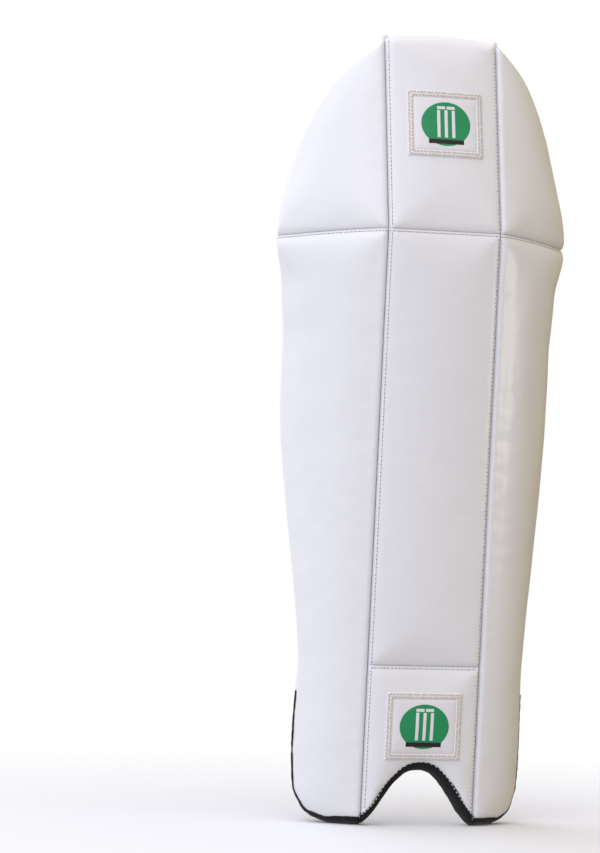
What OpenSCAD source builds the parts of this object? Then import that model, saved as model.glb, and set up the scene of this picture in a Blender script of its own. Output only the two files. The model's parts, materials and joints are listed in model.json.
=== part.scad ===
// Cricket leg pad, wicketkeeping style: three upright padded panels split by a knee seam,
// bolsters and linings on the leg side, and two hook-and-loop straps across the back.
// The front faces -Y, the leg side faces +Y. Left and right are as seen from the front.

/* [Panels] */
// Height of the pad from the floor to its crown
pad_h = 600; // [596:1:620]
// Height of the seam across the knee
knee_z = 452; // [448:1:454]
// Height of the seam above the instep piece
instep_z = 121; // [116:1:128]
// Half the width of the centre panel, from its middle to a wing seam
centre_half_w = 44.5; // [42:0.5:47]
// Padded thickness of the centre panel, cover to lining
centre_t = 21; // [18:0.5:22]
// Padded thickness of each wing, cover to lining
wing_t = 18; // [15:0.5:19]
// Thickness of the covers and linings
skin_t = 1.2; // [0.8:0.1:1.5]

/* [Shape round the leg] */
// Radius of each wing, seen from above
wing_radius = 167; // [155:1:180]
// Direction in which a wing leaves its seam, from straight sideways
wing_angle = 29.5; // [27:0.5:32]
// Backward lean of the shin, from the knee seam down
shin_lean = 3.5; // [3:0.1:4]
// Backward lean of the knee piece, from the knee seam up
knee_lean = 10.8; // [9:0.2:12]
// Height of the foot notch between the two lobes
notch_h = 42; // [34:1:48]

/* [Bolsters] */
// Height of the bolsters' lower ends
bolster_low_z = 90; // [84:1:100]
// Height of the bolsters' upper ends
bolster_top_z = 446; // [430:1:447]
// Half the width of the centre bolster
centre_bolster_w = 34; // [30:0.5:35]
// How far the centre bolster stands off its lining
centre_bolster_h = 20; // [16:0.5:21]
// Half the width of a wing bolster
wing_bolster_w = 20; // [18:0.5:21]
// How far a wing bolster stands off its lining
wing_bolster_h = 16; // [12:0.5:17]
// Distance from the wing seam to the middle of a wing bolster, round the wing
wing_bolster_s = 34.5; // [33:0.5:36]

/* [Straps] */
// Height of the middle of the upper strap
upper_strap_z = 382; // [370:1:390]
// Height of the middle of the lower strap
lower_strap_z = 126; // [120:1:134]
// Width of the elastic halves
elastic_w = 54; // [48:1:56]
// Width of the webbing halves
webbing_w = 60; // [56:1:62]
// Length of elastic left in view past the webbing's end, on the upper strap
upper_elastic_show = 58; // [50:1:64]
// Length of elastic left in view past the webbing's end, on the lower strap
lower_elastic_show = 46; // [42:1:52]
// Length of hook-and-loop overlap
grip_len = 46; // [38:1:48]
// Thickness of the elastic
elastic_t = 1.6; // [1.2:0.1:2]
// Thickness of the webbing
webbing_t = 2; // [1.6:0.1:2.4]
// Thickness of the hook patch and of the loop patch
grip_t = 0.8; // [0.6:0.1:1]

/* [Trim] */
// Thickness of the binding tape
binding_t = 1; // [0.8:0.1:1.2]
// Width of the binding tape on the front face and on the back face
binding_w = 4; // [3:0.5:5]
// Height to which the binding runs up the outer edges
binding_top_z = 105; // [98:1:112]
// Width of the square badges
badge_w = 60; // [54:1:64]
// Height of the square badges
badge_h = 52; // [48:1:56]
// Thickness of the badges
badge_t = 0.9; // [0.6:0.1:1.2]

/* [Hidden] */
$fn = 96;
seam_gap = 1.2;            // between two pieces of one panel
centre_edge = centre_half_w - 1.5;
wing_start = 2.8;          // first point of a wing past its seam, measured round the wing
fold_taper = 20.75;        // slant of the panel edges, which lets a wing fold in without pinching
wing_mid = [centre_half_w - wing_radius * sin(wing_angle), wing_radius * cos(wing_angle)];
strap_gap = 0.6;           // between the straps and the wings' rear edges
strap_clear = 0.4;         // between hook and loop, so that the halves part freely
root_w = 17;               // sewn root of a strap half
hinge_gap = 0.5;           // between a strap's root and the half that swings from it
grip_inset = 2;            // from the ends of the overlap to the hook and loop patches
crown_drop = 3;            // how much lower the top edge is at the wing seams than in its middle
shin_facing = 58;          // direction that squares a shin wing's outer edge to its face
knee_facing = 47;          // the same for a knee wing, whose edge curves up to the crown
reach = 400;               // longer than the pad is deep

// Outer edge of a shin wing: distance round the wing from its seam, and height
shin_edge = [[33, 0], [50, 5.5], [59.5, 15], [64, 28], [65, 64], [63.5, 121],
             [72, 180], [84.5, 244], [96, 306], [98, 376], [103, knee_z]];
// Outer edge of a knee wing: distance round the wing, and drop below the crown
knee_edge = [[100, 139], [92, 109], [77, 75], [58, 48.5], [36, 24], [8, 5]];
// Half of the foot notch: distance from the middle, as a share of the half width, and height
notch_edge = [[0, 1], [0.2, 0.96], [0.38, 0.81], [0.56, 0.57], [0.76, 0.25], [0.92, 0.06], [1.06, 0]];

// Angle of a wing's face, a distance s round it from the seam
function turn(s) = wing_angle + s / wing_radius * 180 / PI;

// Seen from above: the point of a wing a distance s round it, at a depth below its face
function wing_at(s, depth) =
    wing_mid + (wing_radius - depth) * [sin(turn(s)), -cos(turn(s))];

// How far back the panels stand at a height
function back_at(z) = z > knee_z ? (z - knee_z) * tan(knee_lean) : (knee_z - z) * tan(shin_lean);

// A wing's point, a distance s round it at height z, seen along the direction "facing"
function seen(s, z, facing) =
    let (p = wing_at(s, 0)) [p.x * cos(facing) + (p.y + back_at(z)) * sin(facing), z];

// One stretch of a smooth curve through b and c, with neighbours a and d
function bend(a, b, c, d, t) =
    0.5 * (2 * b + (c - a) * t + (2 * a - 5 * b + 4 * c - d) * t * t
           + (3 * b - a - 3 * c + d) * t * t * t);

// Smooth curve through points, with n stretches between each two
function smooth(p, n = 3) =
    let (last = len(p) - 1)
    [for (i = [0:last - 1], k = [0:n - 1])
        bend(p[max(i - 1, 0)], p[i], p[i + 1], p[min(i + 2, last)], k / n), p[last]];

// Outline moved inwards by d; its points run anticlockwise
function inset(p, d) =
    let (n = len(p))
    [for (i = [0:n - 1])
        let (a = p[(i + n - 1) % n], b = p[i], c = p[(i + 1) % n],
             u = (b - a) / norm(b - a), v = (c - b) / norm(c - b),
             m = [-u.y - v.y, u.x + v.x])
        b + m * d / (1 + u * v)];

// Outlines of the panel pieces, anticlockwise, out to the outside of the binding
function shin_wing_outline() =
    let (edge = smooth(shin_edge))
    [seen(-12, 0, shin_facing), for (e = edge) seen(e[0], e[1], shin_facing),
     seen(103, knee_z + binding_t - seam_gap / 2, shin_facing),
     seen(-12, knee_z + binding_t - seam_gap / 2, shin_facing)];
function knee_wing_outline() =
    let (edge = smooth(knee_edge), low = knee_z + seam_gap / 2 - binding_t)
    [seen(-12, low, knee_facing), seen(102, low, knee_facing),
     for (e = edge) seen(e[0], pad_h - e[1], knee_facing),
     seen(-12, pad_h + binding_t - crown_drop, knee_facing)];
function instep_outline() =
    let (half = smooth(notch_edge, 2), w = centre_half_w + 9,
         top = instep_z - seam_gap / 2 + binding_t)
    [for (i = [len(half) - 1:-1:1]) [-half[i][0] * centre_half_w, half[i][1] * notch_h],
     for (e = half) [e[0] * centre_half_w, e[1] * notch_h],
     [w, 0], [w, top], [-w, top], [-w, 0]];
function shin_centre_outline() =
    let (w = centre_half_w + 9, low = instep_z + seam_gap / 2 - binding_t,
         top = knee_z - seam_gap / 2 + binding_t)
    [[-w, low], [w, low], [w, top], [-w, top]];
function knee_centre_outline() =
    let (w = centre_half_w + 9, low = knee_z + seam_gap / 2 - binding_t)
    [[-w, low], [w, low],
     for (i = [4:-1:-4])
         [i / 4 * w, pad_h + binding_t - crown_drop * pow(i / 4 * w / centre_half_w, 2)]];

// Distance round a shin wing from its seam to its outer edge, at a height
function edge_s(z) = lookup(z, [for (e = shin_edge) [e[1], e[0]]]);
function edge_x(z) = wing_at(edge_s(z), 0).x;

// Where a strap's inner face lies: just clear of the wings' rear edges over its whole width
function strap_y(z) =
    strap_gap + max([for (k = [-2:2]) let (h = z + k * webbing_w / 4)
                     wing_at(edge_s(h), wing_t).y + back_at(h)]);
upper_y = strap_y(upper_strap_z);
lower_y = strap_y(lower_strap_z);
strap_stack = elastic_t + 2 * grip_t + strap_clear + webbing_t;
middle_y = (upper_y + strap_stack) / 2;

// Leans the children with the shin or with the knee piece, and stands the pad on its origin
module stand() translate([0, -middle_y, 0]) children();
module shin() translate([0, 0, knee_z]) rotate([shin_lean, 0, 0]) children();
module knee() translate([0, 0, knee_z]) rotate([-knee_lean, 0, 0]) children();
module shin_bar() shin() translate([0, 0, -knee_z - 8]) linear_extrude(knee_z + 12) children();
module knee_bar() knee() translate([0, 0, -2]) linear_extrude(pad_h - knee_z + 30) children();

// Places a right-hand piece on its own side: 1 is the right, -1 the left
module side(way) stand() mirror([way < 0 ? 1 : 0, 0, 0]) children();

// Cuts along an outline, seen along a direction
module cut(outline, facing = 0)
    rotate([90, 0, facing]) linear_extrude(reach, center = true) polygon(outline);

// Section of a wing seen from above, between two depths below its face; grow widens it
// towards the seam
module wing_plan(near, far, grow = 0) {
    start = wing_at(wing_start - grow, 0);
    slant = turn(0) + 90 - fold_taper;
    way = [cos(slant), sin(slant)];
    intersection() {
        translate(wing_mid) difference() {
            circle(wing_radius - near);
            circle(wing_radius - far);
        }
        polygon([start - 12 * way, [200, -80], [200, 112], start + 60 * way]);
    }
}

// Section of the centre panel seen from above, between two depths; grow widens it
module centre_plan(near, far, grow = 0) {
    a = centre_edge + grow - near * tan(fold_taper);
    b = centre_edge + grow - far * tan(fold_taper);
    polygon([[-a, near], [a, near], [b, far], [-b, far]]);
}

// Casing of a panel piece: a front skin with its edges turned back to the lining
module knee_wing_casing(near, far, in, grow)
    intersection() {
        knee_bar() wing_plan(near, far, grow);
        cut(inset(knee_wing_outline(), in), knee_facing);
    }
module shin_wing_casing(near, far, in, grow)
    intersection() {
        shin_bar() wing_plan(near, far, grow);
        cut(inset(shin_wing_outline(), in), shin_facing);
    }
module knee_wing_cover()
    color("whitesmoke") difference() {
        knee_wing_casing(0, wing_t - skin_t, binding_t, 0);
        knee_wing_casing(skin_t, wing_t, binding_t + skin_t, -skin_t);
    }
module knee_wing_foam()
    color("gainsboro") knee_wing_casing(skin_t, wing_t - skin_t, binding_t + skin_t, -skin_t);
module knee_wing_lining()
    color("forestgreen") knee_wing_casing(wing_t - skin_t, wing_t, binding_t, 0);
module shin_wing_cover()
    color("whitesmoke") difference() {
        shin_wing_casing(0, wing_t - skin_t, binding_t, 0);
        shin_wing_casing(skin_t, wing_t, binding_t + skin_t, -skin_t);
    }
module shin_wing_foam()
    color("gainsboro") shin_wing_casing(skin_t, wing_t - skin_t, binding_t + skin_t, -skin_t);

// The leg side of a shin wing: black cloth above, white ankle piece below
ankle_top_z = 176;
module below(z) translate([-reach / 2, -reach / 2, z - reach]) cube(reach);
module above(z) translate([-reach / 2, -reach / 2, z]) cube(reach);
module shin_wing_lining()
    color("black") intersection() {
        shin_wing_casing(wing_t - skin_t, wing_t, binding_t, 0);
        above(ankle_top_z);
    }
module ankle_wing_lining()
    color("whitesmoke") intersection() {
        shin_wing_casing(wing_t - skin_t, wing_t, binding_t, 0);
        below(ankle_top_z);
    }

// Binding tape folded round the lobe and up the outer edge of a wing
module wing_binding()
    color("black") intersection() {
        difference() {
            shin_wing_casing(-binding_t, wing_t + binding_t, 0, 0);
            shin_wing_casing(-2 * binding_t, wing_t + 2 * binding_t, binding_w, 2);
            shin_wing_casing(0, wing_t, binding_t, 2);
        }
        below(binding_top_z);
    }

// Small folded tag at the outer end of the knee seam
tag_size = [3.5, 8, 12];
module knee_tag()
    color("white") translate([edge_x(knee_z) + tag_size.x / 2 + 0.1,
            wing_at(edge_s(knee_z), wing_t / 2).y, knee_z])
        cube(tag_size, center = true);

// Centre panel
module knee_centre_casing(near, far, in, grow)
    intersection() {
        knee_bar() centre_plan(near, far, grow);
        cut(inset(knee_centre_outline(), in));
    }
module shin_centre_casing(near, far, in, grow)
    intersection() {
        shin_bar() centre_plan(near, far, grow);
        cut(inset(shin_centre_outline(), in));
    }
module instep_casing(near, far, in, grow)
    intersection() {
        shin_bar() centre_plan(near, far, grow);
        cut(inset(instep_outline(), in));
    }
module knee_cover_centre()
    color("whitesmoke") difference() {
        knee_centre_casing(0, centre_t - skin_t, binding_t, 0);
        knee_centre_casing(skin_t, centre_t, binding_t + skin_t, -skin_t);
    }
module knee_foam_centre()
    color("gainsboro") knee_centre_casing(skin_t, centre_t - skin_t, binding_t + skin_t, -skin_t);
module knee_lining_centre()
    color("forestgreen") knee_centre_casing(centre_t - skin_t, centre_t, binding_t, 0);
module shin_cover_centre()
    color("whitesmoke") difference() {
        shin_centre_casing(0, centre_t - skin_t, binding_t, 0);
        shin_centre_casing(skin_t, centre_t, binding_t + skin_t, -skin_t);
    }
module shin_foam_centre()
    color("gainsboro") shin_centre_casing(skin_t, centre_t - skin_t, binding_t + skin_t, -skin_t);
module shin_lining_centre()
    color("black") shin_centre_casing(centre_t - skin_t, centre_t, binding_t, 0);
module instep_cover()
    color("whitesmoke") difference() {
        instep_casing(0, centre_t - skin_t, binding_t, 0);
        instep_casing(skin_t, centre_t, binding_t + skin_t, -skin_t);
    }
module instep_foam()
    color("gainsboro") instep_casing(skin_t, centre_t - skin_t, binding_t + skin_t, -skin_t);
module instep_lining()
    color("whitesmoke") instep_casing(centre_t - skin_t, centre_t, binding_t, 0);
module instep_binding()
    color("black") intersection() {
        difference() {
            instep_casing(-binding_t, centre_t + binding_t, 0, 0);
            instep_casing(-2 * binding_t, centre_t + 2 * binding_t, binding_w, 9);
            instep_casing(0, centre_t, binding_t, 9);
        }
        below(notch_h + binding_w);
    }

// Square badges on the centre panel, above the knee seam and on the instep piece
module badge() rotate([90, 0, 0]) linear_extrude(badge_t) square([badge_w, badge_h], center = true);
upper_badge_z = 534;
lower_badge_z = 75;
module upper_badge()
    color("white") knee() translate([0, 0, (upper_badge_z - knee_z) / cos(knee_lean)]) badge();
module lower_badge()
    color("white") shin() translate([0, 0, (lower_badge_z - knee_z) / cos(shin_lean)]) badge();

// Side view of a bolster, from its lining out, with rounded ends; in takes the casing off
function bolster_profile(high, in) =
    let (low = (bolster_low_z - knee_z) / cos(shin_lean) + in,
         top = (bolster_top_z - knee_z) / cos(shin_lean) - in, r = high - in, stretch = 1.6)
    [[in, low], for (a = [0:15:90]) [r * (0.3 + 0.7 * sin(a)), low + r * stretch * (1 - cos(a))],
     for (a = [90:-15:0]) [r * (0.3 + 0.7 * sin(a)), top - r * stretch * (1 - cos(a))], [in, top]];

module centre_bolster_body(in) {
    w = centre_bolster_w;
    h = centre_bolster_h;
    r = (w * w + h * h) / (2 * h);
    shin() intersection() {
        translate([0, 0, -knee_z]) linear_extrude(knee_z) intersection() {
            translate([0, centre_t + h - r]) circle(r - in);
            translate([-reach / 2, centre_t + in]) square([reach, h]);
        }
        translate([-reach / 2, centre_t, 0]) rotate([90, 0, 90]) linear_extrude(reach)
            polygon(bolster_profile(h, in));
    }
}
module wing_bolster_body(in) {
    w = wing_bolster_w;
    h = wing_bolster_h;
    r = (w * w + h * h) / (2 * h);
    a = turn(wing_bolster_s);
    shin() intersection() {
        translate([0, 0, -knee_z]) linear_extrude(knee_z) translate(wing_mid) intersection() {
            circle(wing_radius - wing_t - in);
            translate((wing_radius - wing_t - h + r) * [sin(a), -cos(a)]) circle(r - in);
        }
        translate(wing_mid + (wing_radius - wing_t) * [sin(a), -cos(a)]) rotate(a)
            translate([-reach / 2, 0, 0]) rotate([90, 0, 90]) linear_extrude(reach)
            polygon(bolster_profile(h, in));
    }
}
module centre_bolster_cover()
    color("limegreen") difference() {
        centre_bolster_body(0);
        centre_bolster_body(skin_t);
    }
module centre_bolster_fill() color("gainsboro") centre_bolster_body(skin_t);
module wing_bolster_cover()
    color("black") difference() {
        wing_bolster_body(0);
        wing_bolster_body(skin_t);
    }
module wing_bolster_fill() color("gainsboro") wing_bolster_body(skin_t);

// Hem under the centre bolster, sewn to the lining
module centre_bolster_hem()
    color("black") shin() translate([0, centre_t, (bolster_low_z - knee_z) / cos(shin_lean) - 8.3])
        translate([-centre_bolster_w + 2, 0, 0]) cube([2 * centre_bolster_w - 4, 3, 8]);

// Strap halves, as boxes from one place across the pad to another; way 1 is the right side
module band(x0, x1, y, t, z, w)
    translate([min(x0, x1), y, z - w / 2]) cube([abs(x1 - x0), t, w]);
module elastic_root(y, z)
    color("black") band(edge_x(z) - root_w, edge_x(z) + 1, y, elastic_t, z, elastic_w);
module elastic(y, z, show)
    color("dimgray") band(edge_x(z) - show - grip_len, edge_x(z) - root_w - hinge_gap,
                          y, elastic_t, z, elastic_w);
module loop_patch(y, z, show)
    color("gray") band(edge_x(z) - show - grip_len + grip_inset, edge_x(z) - show - grip_inset,
                       y + elastic_t, grip_t, z, elastic_w - 3 * grip_inset);
module webbing_root(y, z)
    color("black") band(-edge_x(z) - 1, -edge_x(z) + root_w, y, strap_stack, z, webbing_w);
module webbing(y, z, show)
    color("dimgray") band(-edge_x(z) + root_w + hinge_gap, edge_x(z) - show,
                          y + strap_stack - webbing_t, webbing_t, z, webbing_w);
module hook_patch(y, z, show)
    color("gray") band(edge_x(z) - show - grip_len + grip_inset, edge_x(z) - show - grip_inset,
                       y + strap_stack - webbing_t - grip_t, grip_t, z, elastic_w - 3 * grip_inset);

stand() knee_cover_centre();
stand() knee_foam_centre();
stand() knee_lining_centre();
stand() shin_cover_centre();
stand() shin_foam_centre();
stand() shin_lining_centre();
stand() instep_cover();
stand() instep_foam();
stand() instep_lining();
stand() instep_binding();
stand() centre_bolster_cover();
stand() centre_bolster_fill();
stand() centre_bolster_hem();
stand() upper_badge();
stand() lower_badge();
side(-1) knee_wing_cover();  // left_knee_cover
side(-1) knee_wing_foam();  // left_knee_foam
side(-1) knee_wing_lining();  // left_knee_lining
side(-1) knee_tag();  // left_knee_tag
side(-1) shin_wing_cover();  // left_shin_cover
side(-1) shin_wing_foam();  // left_shin_foam
side(-1) shin_wing_lining();  // left_shin_lining
side(-1) ankle_wing_lining();  // left_ankle_lining
side(-1) wing_bolster_cover();  // left_bolster_cover
side(-1) wing_bolster_fill();  // left_bolster_fill
side(-1) wing_binding();  // left_binding
side(1) knee_wing_cover();  // right_knee_cover
side(1) knee_wing_foam();  // right_knee_foam
side(1) knee_wing_lining();  // right_knee_lining
side(1) knee_tag();  // right_knee_tag
side(1) shin_wing_cover();  // right_shin_cover
side(1) shin_wing_foam();  // right_shin_foam
side(1) shin_wing_lining();  // right_shin_lining
side(1) ankle_wing_lining();  // right_ankle_lining
side(1) wing_bolster_cover();  // right_bolster_cover
side(1) wing_bolster_fill();  // right_bolster_fill
side(1) wing_binding();  // right_binding
stand() elastic_root(upper_y, upper_strap_z);  // upper_elastic_root
stand() elastic(upper_y, upper_strap_z, upper_elastic_show);  // upper_elastic
stand() loop_patch(upper_y, upper_strap_z, upper_elastic_show);  // upper_loop_patch
stand() webbing_root(upper_y, upper_strap_z);  // upper_webbing_root
stand() webbing(upper_y, upper_strap_z, upper_elastic_show);  // upper_webbing
stand() hook_patch(upper_y, upper_strap_z, upper_elastic_show);  // upper_hook_patch
stand() elastic_root(lower_y, lower_strap_z);  // lower_elastic_root
stand() elastic(lower_y, lower_strap_z, lower_elastic_show);  // lower_elastic
stand() loop_patch(lower_y, lower_strap_z, lower_elastic_show);  // lower_loop_patch
stand() webbing_root(lower_y, lower_strap_z);  // lower_webbing_root
stand() webbing(lower_y, lower_strap_z, lower_elastic_show);  // lower_webbing
stand() hook_patch(lower_y, lower_strap_z, lower_elastic_show);  // lower_hook_patch
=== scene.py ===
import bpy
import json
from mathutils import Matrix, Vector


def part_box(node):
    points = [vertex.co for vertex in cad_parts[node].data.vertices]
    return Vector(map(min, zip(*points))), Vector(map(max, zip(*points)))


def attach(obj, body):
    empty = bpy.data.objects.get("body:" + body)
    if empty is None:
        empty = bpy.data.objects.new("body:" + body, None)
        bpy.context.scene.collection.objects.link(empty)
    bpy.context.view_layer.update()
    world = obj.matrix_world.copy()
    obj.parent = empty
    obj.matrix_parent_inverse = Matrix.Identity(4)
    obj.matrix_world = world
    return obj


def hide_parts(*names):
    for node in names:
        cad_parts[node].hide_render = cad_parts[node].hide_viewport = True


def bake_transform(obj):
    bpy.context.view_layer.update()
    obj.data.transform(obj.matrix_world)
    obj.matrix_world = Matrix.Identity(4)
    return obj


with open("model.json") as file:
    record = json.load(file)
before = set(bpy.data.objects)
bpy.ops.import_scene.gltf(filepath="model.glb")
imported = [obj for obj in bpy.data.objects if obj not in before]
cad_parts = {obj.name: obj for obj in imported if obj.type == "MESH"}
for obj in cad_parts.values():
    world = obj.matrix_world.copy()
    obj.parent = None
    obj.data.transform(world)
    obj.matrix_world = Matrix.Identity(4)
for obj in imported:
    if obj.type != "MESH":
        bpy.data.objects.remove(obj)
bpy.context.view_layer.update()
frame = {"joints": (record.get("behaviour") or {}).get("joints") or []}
import copy
import json
import math
import bpy
import numpy as np
from mathutils import Matrix, Vector

# Sizes in millimetres, in the row frame. A place on the pad is (u, z, d): u is the distance across it from the
# middle, round the curve of a wing, z is the height, and d is the depth behind the front face.


def low(node, axis):
    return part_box(node)[0][axis] * 1000


def high(node, axis):
    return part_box(node)[1][axis] * 1000


FRONT = low("shin_cover_centre", 1)
KNEE = (high("shin_cover_centre", 2) + low("knee_cover_centre", 2)) / 2
INSTEP = (high("instep_cover", 2) + low("shin_cover_centre", 2)) / 2
HALF = next(j["pos_m"][0] for j in frame["joints"] if j["name"] == "right_wing_fold") * 1000
TOP = high("knee_cover_centre", 2) + 4.2
CENTRE_T, WING_T = 21.0, 18.0
R, A0 = 167.0, math.radians(29.5)
SHIN_LEAN, KNEE_LEAN = math.tan(math.radians(3.5)), math.tan(math.radians(10.8))
ANKLE = 176.0
BIND_TOP = 105.0
BLEND = 12.0


def smooth(points, n=8):
    p = np.array(points, float)
    p = np.vstack([2 * p[0] - p[1], p, 2 * p[-1] - p[-2]])
    out = []
    for i in range(1, len(p) - 2):
        for t in np.arange(n) / n:
            out.append(0.5 * (2 * p[i] + (p[i + 1] - p[i - 1]) * t
                              + (2 * p[i - 1] - 5 * p[i] + 4 * p[i + 1] - p[i + 2]) * t * t
                              + (3 * p[i] - p[i - 1] - 3 * p[i + 1] + p[i + 2]) * t ** 3))
    return np.array(out + [p[-2]])


# Outlines as (distance round the wing from its seam, height)
SHIN_SIDE = smooth([(59.5, 15), (64.5, 28), (67, 64), (66, 121), (74.5, 180), (87, 244), (97.5, 306), (99, 376),
                    (103, KNEE)])
LOBE = smooth([(0, 0), (18, 0), (33, 0.2), (50, 5.5), (59.5, 15)])
KNEE_TOP = smooth([(0, TOP - 3), (8, TOP - 4.6), (36, TOP - 22), (58, TOP - 45.5), (77, TOP - 73)])
KNEE_SIDE = smooth([(103, KNEE), (100, TOP - 138), (92, TOP - 107), (77, TOP - 73)])
NOTCH = smooth([(-1.0, 0), (-0.92, 2.5), (-0.76, 10.5), (-0.56, 24), (-0.38, 34), (-0.2, 40.3), (0, 42), (0.2, 40.3),
                (0.38, 34), (0.56, 24), (0.76, 10.5), (0.92, 2.5), (1.0, 0)]) * (HALF, 1)


FLARE = [(z, f) for z, f in smooth([(-80, 0), (-54, 0.2), (-34, 0.34), (-20, 0.68), (-8, 0.96), (6, 1.0), (24, 0.97),
                                    (42, 0.72), (60, 0.52), (90, 0.4), (150, 0.3)])]


def edge_s(z):
    return np.interp(z, SHIN_SIDE[:, 1], SHIN_SIDE[:, 0])


def lean(z):
    return np.where(z > KNEE, (z - KNEE) * KNEE_LEAN, (KNEE - z) * SHIN_LEAN)


def flare(s, z):
    """How far the stuffing spreads a wing outwards at the knee seam."""
    t = np.clip((s - 20) / 75, 0, 1)
    return 7.0 * t * t * (3 - 2 * t) * np.interp(z - KNEE, *zip(*FLARE))


def place(u, z, d):
    """Row-frame point, in mm, of a place on the pad."""
    u, z, d = np.broadcast_arrays(np.asarray(u, float), np.asarray(z, float), np.asarray(d, float))
    s = np.abs(u) - HALF
    d = d - flare(s, z)
    z = z - 4.5 * step(s, 0, 105) * np.exp(-((z - KNEE) / 60) ** 2)
    e = np.maximum(s, 0) + 0.64 * d * np.clip(1 - s / 22, 0, 1)
    a = A0 + e / R
    x = np.where(s > 0, HALF - R * math.sin(A0) + (R - d) * np.sin(a), np.abs(u)) * np.sign(u)
    y = np.where(s > 0, R * math.cos(A0) - (R - d) * np.cos(a), d)
    return np.stack([x, FRONT + y + lean(z), z], -1)


def along(line, t):
    line = np.asarray(line, float)
    step = np.r_[0, np.cumsum(np.linalg.norm(np.diff(line, axis=0), axis=1))]
    at = np.asarray(t) * step[-1]
    return np.stack([np.interp(at, step, line[:, k]) for k in range(2)], -1)


def length(line):
    return float(np.linalg.norm(np.diff(np.asarray(line, float), axis=0), axis=1).sum())


NEAR = (0, 0.4, 0.9, 1.5, 2.2, 2.9, 3.5, 4.1, 5.0, 6.4, 8.2, 10.4)


def ticks(total, step, near=NEAR):
    near = np.array([n for n in near if n < total * 0.3])
    count = max(2, round((total - 2 * near[-1]) / step))
    inner = np.linspace(near[-1], total - near[-1], count + 1)[1:-1]
    return np.r_[near, inner, (total - near)[::-1]] / total


def coons(bottom, top, left, right, step=2.6, near=NEAR):
    us, vs = ticks(length(bottom), step, near), ticks(length(left), step, near)
    b, t, l, r = along(bottom, us), along(top, us), along(left, vs), along(right, vs)
    u, v = us[None, :, None], vs[:, None, None]
    corners = ((1 - u) * (1 - v) * b[0] + u * (1 - v) * b[-1] + (1 - u) * v * t[0] + u * v * t[-1])
    return (1 - v) * b[None] + v * t[None] + (1 - u) * l[:, None] + u * r[:, None] - corners


def distance(points, line):
    p = points.reshape(-1, 1, 2)
    a, b = np.asarray(line, float)[:-1], np.asarray(line, float)[1:]
    ab = b - a
    t = np.clip(((p - a) * ab).sum(-1) / np.maximum((ab * ab).sum(-1), 1e-9), 0, 1)
    near = a + t[..., None] * ab
    return np.sqrt(((p - near) ** 2).sum(-1).min(1)).reshape(points.shape[:-1])


def waves(points, size, seed, count=7):
    """Smooth random undulation of about -1 to 1, with bumps of about that size in mm."""
    r = np.random.default_rng(seed)
    out = 0
    for _ in range(count):
        a, k = r.uniform(0, 2 * math.pi), 2 * math.pi / (size * r.uniform(1.3, 2.6))
        out = out + np.sin(k * (points[..., 0] * math.cos(a) + points[..., 1] * math.sin(a)) + r.uniform(0, 6.3))
    return out / math.sqrt(count)


def roll(d, width, deep):
    t = np.clip(1 - d / width, 0, 1)
    return deep * (1 - np.sqrt(1 - t * t))


def table(d, pairs):
    x, y = zip(*pairs)
    return np.interp(d, x, y)


def step(x, a, b):
    t = np.clip((x - a) / (b - a), 0, 1)
    return t * t * (3 - 2 * t)


def seam_roll(d, p):
    return 0.6 * roll(d, 7, 6.2) + 0.4 * roll(d, 26, 4.8)


def seam_flange(d, p):
    return table(d, [(0, 7.2), (0.4, 5.8), (0.9, 3.5), (1.5, 2.45), (2.2, 2.1), (2.9, 1.75), (3.5, 1.45), (4.1, 1.2),
                     (5, 0.92), (6.4, 0.6), (8.2, 0.3), (10.4, 0.12), (14, 0)])


def knee_roll(d, p):
    return roll(d, 8.5, 3.6)


def knee_flange(d, p):
    return table(d, [(0, 3.8), (0.4, 3.1), (0.9, 2.6), (1.5, 2.3), (2.2, 2.1), (2.9, 1.8), (3.5, 1.5), (4.1, 1.25),
                     (5, 0.9), (6.4, 0.5), (8.2, 0.22), (10.4, 0.05), (12, 0)])


def outer_front(d, p):
    bound = 1 - step(p[..., 1], BIND_TOP - 3, BIND_TOP + 22)
    return roll(d, 10, 13.6) * (1 - bound) + bound_front(d, p) * bound


def bound_front(d, p):
    return roll(d, 12, 7.2)


def outer_back(d, p):
    free = table(d, [(0, 3.4), (0.5, 3.2), (2.9, 3.15), (3.5, 2.7), (5, 1.4), (6.6, 0.6), (9, 0.1),
                     (12, 0)])
    bound = 1 - step(p[..., 1], BIND_TOP - 3, BIND_TOP + 22)
    return free * (1 - bound) + bound_back(d, p) * bound


def bound_back(d, p):
    return roll(d, 12, 6.6)


def back_roll(d, p):
    return roll(d, 9, 5.2)


def back_knee(d, p):
    return roll(d, 8, 4.0)


def relief(points, edges, sign, base, puff, reach, seed, ripple=0.3):
    """Depth of a puffed face whose edges are drawn in. sign is -1 on the front and 1 on the back."""
    total, near, gathered = 0, 1e9, 1e9
    for line, profile in edges:
        d = distance(points, line)
        total = total + profile(d, points) ** 3
        near = np.minimum(near, d)
        if profile is not outer_front and profile is not bound_front:
            gathered = np.minimum(gathered, d)
    rise = puff * (1 - np.exp(-(near / reach) ** 1.6))
    gather = (0.32 if sign > 0 else 0.09) * waves(points, 5.5, seed + 50) * np.exp(-((gathered - 5) / 6) ** 2) * step(near, 1, 6)
    ripples = ripple * waves(points, 26, seed) * step(near, 2, 14)
    return base + sign * (rise + gather + ripples - np.cbrt(total))


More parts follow.
